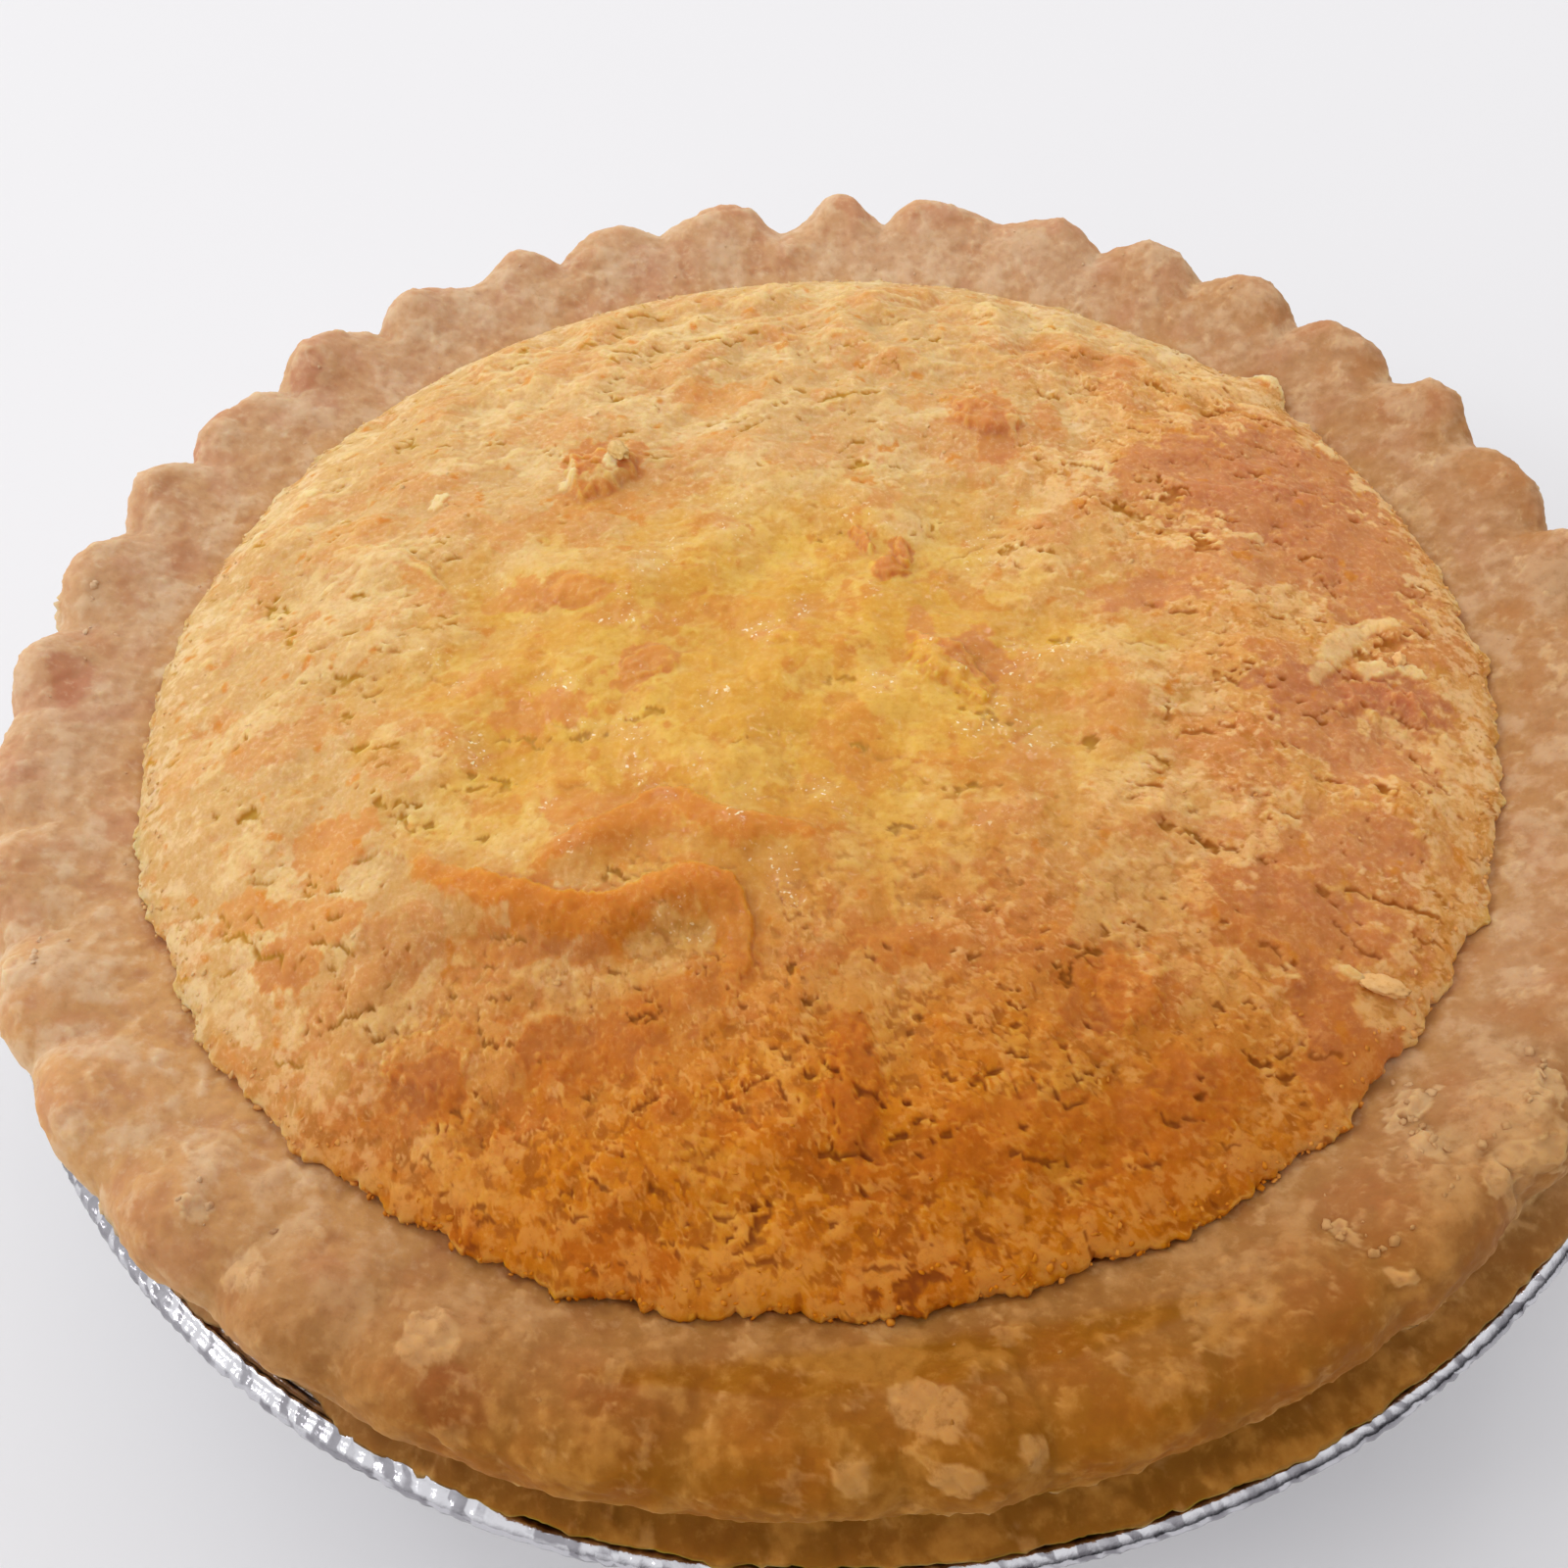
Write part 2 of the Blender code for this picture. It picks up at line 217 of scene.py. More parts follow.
def makePiece(name, points, faces, material, node=None, masks=None):
    mesh = bpy.data.meshes.new(name)
    mesh.from_pydata((np.asarray(points) * mm).tolist(), [], faces)
    for label, values in (masks or {}).items():
        layer = mesh.attributes.new(label, "FLOAT", "POINT")
        layer.data.foreach_set("value", np.asarray(values, np.float32))
    mesh.shade_smooth()
    mesh.materials.append(material)
    piece = bpy.data.objects.new(name, mesh)
    bpy.context.scene.collection.objects.link(piece)
    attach(piece, "root")
    if node:
        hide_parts(node)
    print(name, len(mesh.polygons), "faces")
    return piece


def ringFaces(rings, steps, first=0):  # quads between rings of points, which run down the outer side
    ring, step = np.meshgrid(np.arange(rings - 1), np.arange(steps), indexing="ij")
    here = first + ring * steps + step
    along = first + ring * steps + (step + 1) % steps
    faces = np.stack([here, here + steps, along + steps, along], axis=-1)
    return faces.reshape(-1, 4).tolist()


def fanFaces(ring, centre, inward):  # closes a ring of points at its middle
    following = np.roll(ring, -1)
    if inward:
        return [(int(a), int(centre), int(b)) for a, b in zip(ring, following)]
    return [(int(centre), int(a), int(b)) for a, b in zip(ring, following)]


def tinWall(height):  # the tin's inner radius
    slope = (form["mouthRadius"] - form["baseRadius"]) / form["flangeHeight"]
    return form["baseRadius"] + slope * height


def leanAt(height):
    return form["lean"] * smooth(form["leanFrom"], form["leanTo"], height)


def polar(angle, size):  # places on a circle, for noise that closes on itself
    return np.column_stack((np.cos(angle), np.sin(angle))) * size


def ringPoints(reach, turn, level):
    return np.column_stack((reach * np.cos(turn), reach * np.sin(turn), level + 0 * turn))


def degreesFrom(angle, middle):  # how far round from the middle, from -180 to 180 degrees
    return np.degrees(np.angle(np.exp(1j * (angle - math.radians(middle)))))


def smoothLine(knots, perStretch):  # points on a smooth curve through the knots
    knots = np.array(knots, float)
    knots = np.vstack((2 * knots[0] - knots[1], knots, 2 * knots[-1] - knots[-2]))
    line = []
    for stretch in range(len(knots) - 3):
        a, b, c, d = knots[stretch:stretch + 4]
        for t in np.linspace(0, 1, perStretch, endpoint=False):
            line.append(0.5 * (2 * b + (c - a) * t + (2 * a - 5 * b + 4 * c - d) * t ** 2
                               + (3 * b - a - 3 * c + d) * t ** 3))
    line.append(knots[-2])
    return np.array(line)


custard = {
    "ringGap": 0.2,  # between the rings of the mesh
    "steps": 1344,  # round the outermost ring, halved again and again towards the middle
    "seed": 5,
    "lumps": (9.0, 0.9),  # size and rise, as in the solid
    "crumbs": (4.0, 0.7),
    "lumpsShown": 0.85,  # the finer relief takes over a part of them
    "crumbsShown": 0.4,
    "breakLine": -25.0,
    "breakDrop": 1.6,
    "breakDepth": 4.0,
    "breakShown": 0.7,  # the crumbs fill part of the drop
    "breakReach": 20.0,
    "breakSides": (-30.0, -24.0, -6.0, -1.0),
    "strands": 260,
    "strandLength": (5.0, 14.0),
    "strandWidth": (1.0, 2.0),
    "strandRise": (0.02, 0.08),
    "strandSpread": 24.0,
    "strandReach": 47.0,
    "flakeSizes": (6.5, 3.4, 1.7),  # torn flakes of skin, layer on layer
    "flakeRises": (0.12, 0.08, 0.05),
    "skinSize": 5.0,
    "creamSize": 8.0,
    "peachSize": 6.5,
    "crumbSize": 1.15,
    "sandSize": 0.55,
    "skinRise": 0.1,
    "crumbRise": 0.075,
    "creviceDepth": 0.29,
    "foldRise": 1.1,
    "apronRise": 0.35,
    "lipWobble": 0.5,
    "lipBites": 9.0,
    "lipRag": 1.25,
    "lipFray": 0.18,
    "flapAt": 36.6,  # where a flap of the skin hangs over the case
    "flapWidth": 2.6,
    "flapReach": 1.5,
    "flapRise": 0.8,
    "calmFrom": 45.0,  # towards the lip the relief dies out
    "calmTo": 49.7,
    "cragShare": 0.42,  # of a crag's height that the finer relief shows
    "wideRise": 0.2,
    "tornRise": 0.04,
    "backSize": 5.0,  # lumps at the back
    "backRise": 0.32,
    "backZone": (16, 34),
    "frontZone": (-8, -42),  # where the browner, darker front begins and is full: partly browning, partly painted shade
    # the darker right side: partly browning, partly painted shade
    "rightZone": (8, 32),
    "edgeZone": (42, 49),
    "arcRise": 0.22,
    "fleckRise": 0.3,
    "lipDrop": 0.3,
    "nudge": 0.1,
    "nibble": 0.18,
    "cavityReach": 49.0,  # the hidden side, down inside the case
}

folds = {  # raised folds of skin, from the dome's centre, as in the solid
    "long": [(-25, -22), (-20, -24.5), (-14, -26.3), (-8.5, -25), (-5, -26), (-4.6, -30)],
    "short": [(-17, -22.5), (-13, -20), (-9.5, -18.3), (-5, -20.6), (-0.5, -21.2)],
    "pale": [(-37, 8.2), (-33.5, 8), (-30, 6), (-27.5, 3)],
}
foldRadius = 1.05

crags = [  # x, y, length, width, height, turn in degrees
    (-16, 14.8, 7.0, 4.2, 2.4, 10),
    (4.6, 5.2, 3.4, 1.0, 1.5, 112),
    (7.4, 4.0, 3.0, 1.1, 1.5, 98),
    (6.2, 2.2, 2.8, 2.2, 1.1, 0),
    (10, -7.6, 7.0, 3.4, 1.4, -45),
    (15.3, 19.6, 6.0, 4.0, 1.6, -25),
    (-16.6, 1.3, 4.0, 2.6, 0.7, 0),
    (-11.2, -5.9, 4.0, 2.8, 0.7, 20),
    (19.3, -32.5, 6.0, 4.0, 1.2, 60),
    (1.9, -38.5, 7.0, 3.2, 1.2, 85),
    (-23.7, -34.5, 6.0, 4.5, 1.1, 15),
    (40.2, -9.4, 6.5, 4.0, 1.2, -15),
]

brownings = [  # x, y, half length, half width, turn and strength of each browned patch
    (37, 13, 11, 8, 25, 0.8),  # the large patch at the right
    (42, 5, 5.5, 8, 0, 0.7),
    (29, 14, 6, 3, 35, 0.65),
    (33, 3, 9, 3, 10, 0.5),
    (24.5, -0.8, 5, 1.8, 10, 0.7),
    (35, -9.5, 4.5, 2.8, 10, 0.85),
    (41, -8.6, 4.5, 2.4, -10, 0.95),
    (37, -14, 6, 3, -15, 0.6),
    (31, -27, 7, 4, -5, 0.6),
    (36, -21.5, 6, 2.4, 0, 0.5),
    (31, -33, 2.4, 3.6, 0, 0.75),
    (33, -36, 5, 2.2, 25, 0.65),
    (16.6, -33, 2.4, 3.6, -15, 0.65),
    (20, -39.5, 7, 2.4, 20, 0.6),
    (11, -41, 6, 2.5, 15, 0.45),
    (2.2, -38.5, 1.7, 4.6, 0, 0.8),
    (-14, -34.4, 5.5, 2.6, -5, 0.7),
    (-7, -31, 4, 2, 10, 0.4),
    (-24, -36.3, 2.7, 2.2, 20, 0.9),
    (-17, -27.6, 4.5, 1.6, -10, 0.7),
    (-34.4, -27.6, 2.8, 2.0, 0, 0.8),
    (-31, -25, 3.0, 1.8, 0, 0.55),
    (-32, -19.6, 3.0, 3.2, 0, 0.6),
    (-37, -23.5, 4.0, 1.6, -10, 0.55),
    (-12, -18.9, 6.0, 1.7, -8, 0.55),  # the skin above the short fold
    (-17, -25.2, 7.0, 1.3, -14, 0.6),  # and along the long one
    (-18.6, -9.8, 4.4, 1.7, 0, 0.7),
    (-24, -6.5, 4, 1.5, 0, 0.35),
    (-11.6, -6.2, 2.4, 1.9, 30, 0.85),
    (-18, 1.4, 4.2, 1.8, -10, 0.7),
    (-6, -1.5, 7, 2.0, 5, 0.3),
    (-16.8, 16.6, 2.4, 2.6, 0, 1.0),
    (-13, 16.4, 1.3, 2.2, 0, 0.95),
    (-16, 11.6, 4.2, 1.7, 0, 0.6),
    (15.0, 20.4, 2.8, 2.6, 0, 0.95),
    (15.6, 16.6, 1.7, 3.4, 0, 0.95),
    (19.8, 19.5, 1.4, 3.0, 0, 0.5),
    (12, 23, 4.5, 1.6, 20, 0.4),
    (4.6, 5.2, 0.7, 2.0, 22, 1.0),
    (7.4, 4.0, 0.8, 1.8, 8, 1.0),
    (6.4, 2.2, 1.6, 1.3, 0, 1.0),
    (8.2, -3.8, 1.1, 2.6, 5, 0.7),
    (12, -6.8, 2.6, 2.3, -35, 0.9),
    (14.5, -15.5, 4.5, 1.6, -10, 0.35),
    (20.5, -11.5, 3.5, 2.6, 30, 0.45),
    (-34.5, 11, 4.5, 2.6, 0, 0.35),
    (-6, 24.5, 4, 2.4, -15, 0.45),
    (-6.5, 18, 4.5, 1.6, 0, 0.35),
    (25, 30, 6, 4, -20, 0.3),
    (44, 22, 3, 4, 20, 0.35),
    (-45, -10, 2.5, 5, 0, 0.3),
    (24, -21.5, 4.5, 1.5, 0, 0.4),
    (6, -29.5, 3.5, 1.8, 0, 0.5),
    (-38, -33, 2.5, 1.2, -40, 0.5),
]

crevices = [  # x, y, half length, half width and turn of each ragged opening in the skin
    (-41.3, 5.0, 2.4, 0.7, -50),
    (-38.2, 1.0, 1.2, 0.5, -60),
    (-44.0, 12.5, 1.0, 0.5, -40),
    (-33.0, 22.3, 1.1, 0.4, -60),
    (-26.4, 10.8, 0.7, 0.6, 60),
    (-28.0, 8.8, 0.8, 0.4, -50),
    (-33.7, 3.7, 0.9, 0.5, 0),
    (-26.2, -0.2, 2.2, 0.6, -28),
    (-32.6, -5.2, 1.1, 0.9, 30),
    (-33.0, -8.2, 0.6, 1.1, 0),
    (-39.6, -4.6, 0.6, 0.4, 0),
    (-31.0, -11.6, 0.9, 0.5, 10),
    (-28.8, -12.1, 1.0, 0.4, 0),
    (-38.5, -16.0, 0.8, 0.9, 30),
    (-27.6, -17.2, 2.8, 0.5, -35),
    (-26.0, -18.4, 0.9, 0.6, -30),
    (-22.6, -15.7, 2.0, 0.6, 5),
    (-21.6, -20.3, 0.7, 0.4, 0),
    (-31.8, -22.8, 1.2, 0.5, -20),
    (-36.5, -25.8, 2.4, 0.4, -30),
    (-19.0, -12.0, 3.2, 0.35, -2),
    (-11.0, -10.7, 0.9, 0.45, 0),
    (-4.8, -13.9, 1.0, 0.35, 5),
    (-12.0, -24.0, 1.4, 0.35, -10),
    (-15.0, 25.5, 0.7, 0.6, 0),
    (-11.7, 23.5, 0.4, 0.7, 0),
    (-24.5, 36.5, 0.6, 1.2, 0),
    (-18.5, 36.8, 0.6, 1.6, 0),
    (3.6, 23.2, 2.4, 0.6, 15),
    (11.8, 32.0, 1.3, 0.6, 0),
    (7.3, 27.8, 0.9, 0.4, 0),
    (4.8, 14.5, 0.6, 0.5, 0),
    (10.0, 7.3, 0.8, 0.3, 40),
    (15.6, 4.1, 1.1, 0.6, 20),
    (18.1, 3.5, 0.6, 0.4, 0),
    (1.6, 6.3, 0.5, 0.4, 0),
    (2.0, -8.0, 0.9, 0.5, -20),
    (3.8, -14.0, 0.8, 0.3, 0),
    (12.2, -12.6, 1.6, 1.2, -30),
    (7.9, -19.1, 0.7, 0.4, 0),
    (5.4, -21.0, 1.0, 0.5, 10),
    (11.0, -18.0, 1.2, 0.3, 0),
    (18.0, -5.4, 0.6, 1.0, -30),
    (22.2, -16.3, 1.3, 0.5, 5),
    (18.6, -14.0, 0.5, 0.8, -30),
    (28.8, -8.6, 0.5, 1.1, -15),
    (24.3, -11.6, 0.6, 0.5, 0),
    (28.2, 10.5, 0.8, 2.0, 10),
    (24.5, 8.2, 2.2, 0.7, -15),
    (30.3, 4.2, 1.0, 1.4, 0),
    (35.0, 24.3, 3.2, 0.4, 62),
    (30.6, 25.0, 1.2, 0.7, -20),
    (36.0, 12.6, 0.5, 1.2, -15),
    (39.6, 12.6, 0.9, 0.6, 30),
    (38.0, 4.2, 1.0, 0.4, 30),
    (41.1, -4.3, 2.0, 1.2, 35),
    (41.5, -14.6, 0.4, 1.0, 0),
    (38.2, -17.6, 0.5, 1.3, 10),
    (26.2, -22.6, 3.4, 0.4, -22),
    (19.0, -28.0, 2.2, 0.35, 12),
    (16.0, -31.0, 1.6, 0.3, 30),
    (26.4, -36.8, 2.4, 0.4, -25),
    (22.4, -38.6, 0.5, 0.5, 0),
    (-1.0, -31.4, 0.5, 0.9, 0),
    (6.0, -48.2, 2.4, 0.5, 20),
    (-4.2, -45.8, 1.4, 0.4, 30),
]

arcs = [  # coconut shreds that show at the surface: route and half width
    ([(35.2, -8.6), (36.8, -6.4), (38.4, -4.3), (40.6, -2.3), (42.8, -1.6)], 0.95),
    ([(-36.7, 4.9), (-33.9, 7.1), (-30.7, 6.7), (-27.2, 4.2)], 0.5),
    ([(-30.5, 34.0), (-25.5, 36.0), (-21.0, 35.6)], 0.45),
    ([(18.5, 27.5), (22.5, 26.2), (26.5, 26.6)], 0.45),
]

flecks = [  # x, y, half length, half width and turn of single pale flakes
    (-40.7, 18.3, 1.05, 0.65, -25),
    (-28.7, 13.5, 0.7, 1.1, -10),
    (-14.8, 15.3, 0.6, 1.1, 5),
    (-18.3, 13.6, 0.8, 0.5, 30),
    (40.2, -6.6, 1.6, 0.9, 10),
    (43.0, -6.4, 1.0, 0.7, -20),
    (33.2, -30.4, 0.9, 0.5, -30),
    (-44.4, 14.6, 0.6, 0.8, 0),
    (43.6, 20.6, 0.8, 1.3, 15),
    (41.6, 30.6, 2.2, 1.0, -52),
]


def solidNoise(x, y, size, shift):  # the solid's own noise, so that the lumps fall in the same places
    shift = Vector(shift)
    spots = zip(x.tolist(), y.tolist())
    return np.array([noise.noise(Vector((u, v, 0.0)) / size + shift) for u, v in spots])


def domeHeight(radius):
    share = np.minimum(radius / form["lipRadius"], 1.0)
    return form["lipHeight"] + form["domeRise"] * (1 - share ** form["domePower"])


def solidTop(x, y):  # the baked top of the solid, at places from the dome's centre
    radius = np.hypot(x, y)
    lumps = custard["lumpsShown"] * custard["lumps"][1] * solidNoise(x, y, custard["lumps"][0], (0, 0, 0))
    crumbs = custard["crumbsShown"] * custard["crumbs"][1]
    crumbs = crumbs * solidNoise(x, y, custard["crumbs"][0], (7.3, 1.9, 4.1))
    calm = 1 - smooth(0.86, 0.98, radius / form["lipRadius"])
    left, fullLeft, fullRight, right = custard["breakSides"]
    across = smooth(left, fullLeft, x) * (1 - smooth(fullRight, right, x))
    depth = custard["breakLine"] - y
    reach = custard["breakReach"]
    fade = 1 - smooth(reach / 2, reach, depth)
    drop = custard["breakDrop"] * custard["breakShown"] * across
    drop = drop * smooth(0, custard["breakDepth"], depth) * fade
    return domeHeight(radius) + (lumps + crumbs) * calm - drop


def layStrands(x, y):  # coconut strands under the skin: how far they lift it, and each one's own tone
    draw = np.random.RandomState(custard["seed"])
    lift = np.zeros_like(x)
    tone = np.zeros_like(x)
    for index in range(custard["strands"]):
        reach = custard["strandReach"] * math.sqrt((index + 0.5) / custard["strands"])
        bearing = index * goldenAngle
        length = draw.uniform(*custard["strandLength"])
        width = draw.uniform(*custard["strandWidth"])
        rise = draw.uniform(*custard["strandRise"])
        turn = math.radians(draw.normal(0, custard["strandSpread"]))
        bow = draw.uniform(-0.2, 0.2)
        own = draw.uniform(0, 1)
        du = x - reach * math.cos(bearing)
        dv = y - reach * math.sin(bearing)
        near = np.flatnonzero(du * du + dv * dv < (0.6 * length) ** 2)
        u = du[near] * math.cos(turn) + dv[near] * math.sin(turn)
        v = dv[near] * math.cos(turn) - du[near] * math.sin(turn)
        along = 2 * u / length
        v = v - bow * length * (along ** 2 - 0.5) / 2 - 0.2 * np.sin(u * 0.9 + 9 * own)
        half = width / 2 * np.sqrt(np.clip(1 - np.abs(along) ** 5, 0, 1)) + 1e-6
        ridge = np.sqrt(np.clip(1 - (v / half) ** 2, 0, 1))
        height = rise * ridge * (1 - 0.5 * along ** 2)
        best = height > lift[near]
        lift[near[best]] = height[best]
        tone[near[best]] = own
    return lift, tone


def alongRoute(x, y, route, steps=36):  # distance from a smooth line, the share along it, and its left side
    line = smoothLine(route, steps // len(route))
    away = np.full(len(x), 99.0)
    share = np.zeros(len(x))
    left = np.zeros(len(x), bool)
    for index in range(len(line) - 1):
        start = line[index]
        run = line[index + 1] - start
        t = np.clip(((x - start[0]) * run[0] + (y - start[1]) * run[1]) / (run @ run), 0, 1)
        gap = np.hypot(x - start[0] - t * run[0], y - start[1] - t * run[1])
        closer = gap < away
        away = np.where(closer, gap, away)
        share = np.where(closer, (index + t) / (len(line) - 1), share)
        left = np.where(closer, run[0] * (y - start[1]) > run[1] * (x - start[0]), left)
    return away, share, left


def patch(x, y, spot, rag):  # 1 inside a ragged oval, 0 outside it
    px, py, half, width, turn = spot[:5]
    angle = math.radians(turn)
    u = (x - px) * math.cos(angle) + (y - py) * math.sin(angle)
    v = (y - py) * math.cos(angle) - (x - px) * math.sin(angle)
    return 1 - smooth(0.78, 1.08, np.hypot(u / half, v / width) + rag)


def ragged(place, size, seed, rough=0.66):  # crumbly noise with a spread of about 1, no finer than the mesh
    octaves = max(1, int(math.log2(size / 0.42)) + 1)
    shares = rough ** np.arange(octaves)
    spread = 0.32 * math.sqrt((shares ** 2).sum()) / shares.sum()
    return cloud(place, size, seed, octaves, rough) / spread


def plates(place, size, seed, level, broken):  # raised flakes with torn edges
    field = ragged(place, size, seed, 0.64)
    behind = ragged(place + (0.1, 0.42), size, seed, 0.64)
    raised = smooth(level - 0.1, level + 0.1, field)
    # beside: the ring just outside a flake, which the finish darkens as painted shade
    beside = smooth(level - 0.4, level - 0.1, field) * (1 - raised)
    fringe = raised * smooth(level + 0.55, level + 0.1, field)
    crack = (1 - raised) * smooth(level + 0.05, level + 0.3, behind)  # under some of the near edges: real slits, whose dark colour also paints the shadow there
    crack = crack * smooth(0.75, 1.1, ragged(place, 1.1 * size, seed + 6, 0.5) + broken)
    return raised, crack, beside, fringe


def opening(x, y, spot, rag):  # a ragged slit, deepest under its far edge, where its darker colour is painted shade too
    px, py, half, width, turn = spot
    angle = math.radians(turn)
    v = (y - py) * math.cos(angle) - (x - px) * math.sin(angle)
    inside = patch(x, y, (px, py, half, 0.8 * width, turn), rag)
    return inside * (0.35 + 0.65 * smooth(-0.9, 0.5, v / width))


def raiseFolds(height, x, y, inner, torn, fray):  # lifts the folds, crags and flap; returns what they cover
    covered = np.zeros_like(x)
    folded = np.zeros_like(x)
    for name, route in folds.items():
        away, share, left = alongRoute(x, y, route)
        ends = np.sin(np.pi * np.clip(share, 0.04, 0.96)) ** 0.35
        half = foldRadius * (0.45 + 0.55 * ends) * (1 + 0.04 * torn)
        step = away / half + 0.12 * torn + 0.1 * fray[:, 1]
        crest = smooth(1.05, 0.8, step)
        face = smooth(2.6, 0.5, step) * (1 - left) * ends
        apron = smooth(5.0, 0.8, away) * left * smooth(0.8, 0.6, share) * (1 - crest)
        size = 1.0 if name == "long" else 0.62
        raised = np.maximum(crest * ends, face)
        height += inner * size * (custard["foldRise"] * raised + custard["apronRise"] * apron)
        covered = np.maximum(covered, np.maximum(0.8 * crest, 0.4 * face))
        if name != "pale":
            folded = np.maximum(folded, crest * ends)
            folded = np.maximum(folded, 0.8 * smooth(0.2, 0.7, face + 0.25 * fray[:, 0]))
    frayed = 0.12 * torn + 0.12 * fray[:, 0]
    for px, py, length, width, rise, turn in crags:
        on = patch(x, y, (px, py, length / 2, width / 2, turn), frayed)
        height += on * rise * custard["cragShare"] * (1 + 0.2 * torn)
    height += custard["flapRise"] * flapAt(np.arctan2(y, x)) * smooth(44, 50, np.hypot(x, y))
    return covered, folded


def raiseShreds(height, x, y, torn, crumbly, fine):  # lifts single shreds, and returns where they show
    shown = np.zeros_like(x)
    for route, half in arcs:
        corners = np.array(route)
        low = corners.min(axis=0) - 2
        high = corners.max(axis=0) + 2
        near = np.flatnonzero((x > low[0]) & (x < high[0]) & (y > low[1]) & (y < high[1]))
        away, share, _ = alongRoute(x[near], y[near], route)
        width = half * (0.55 + 0.45 * np.sin(np.pi * np.clip(share, 0.02, 0.98))) * (1 + 0.12 * torn[near])
        ridge = np.sqrt(np.clip(1 - (away / width) ** 2, 0, 1))
        height[near] += custard["arcRise"] * half * ridge
        shown[near] = np.maximum(shown[near], min(0.7, half) * smooth(0.0, 0.95, ridge))
    for spot in flecks:
        on = patch(x, y, spot, 0.16 * crumbly + 0.08 * fine)
        height += custard["fleckRise"] * on
        shown = np.maximum(shown, 0.9 * on)
    return shown


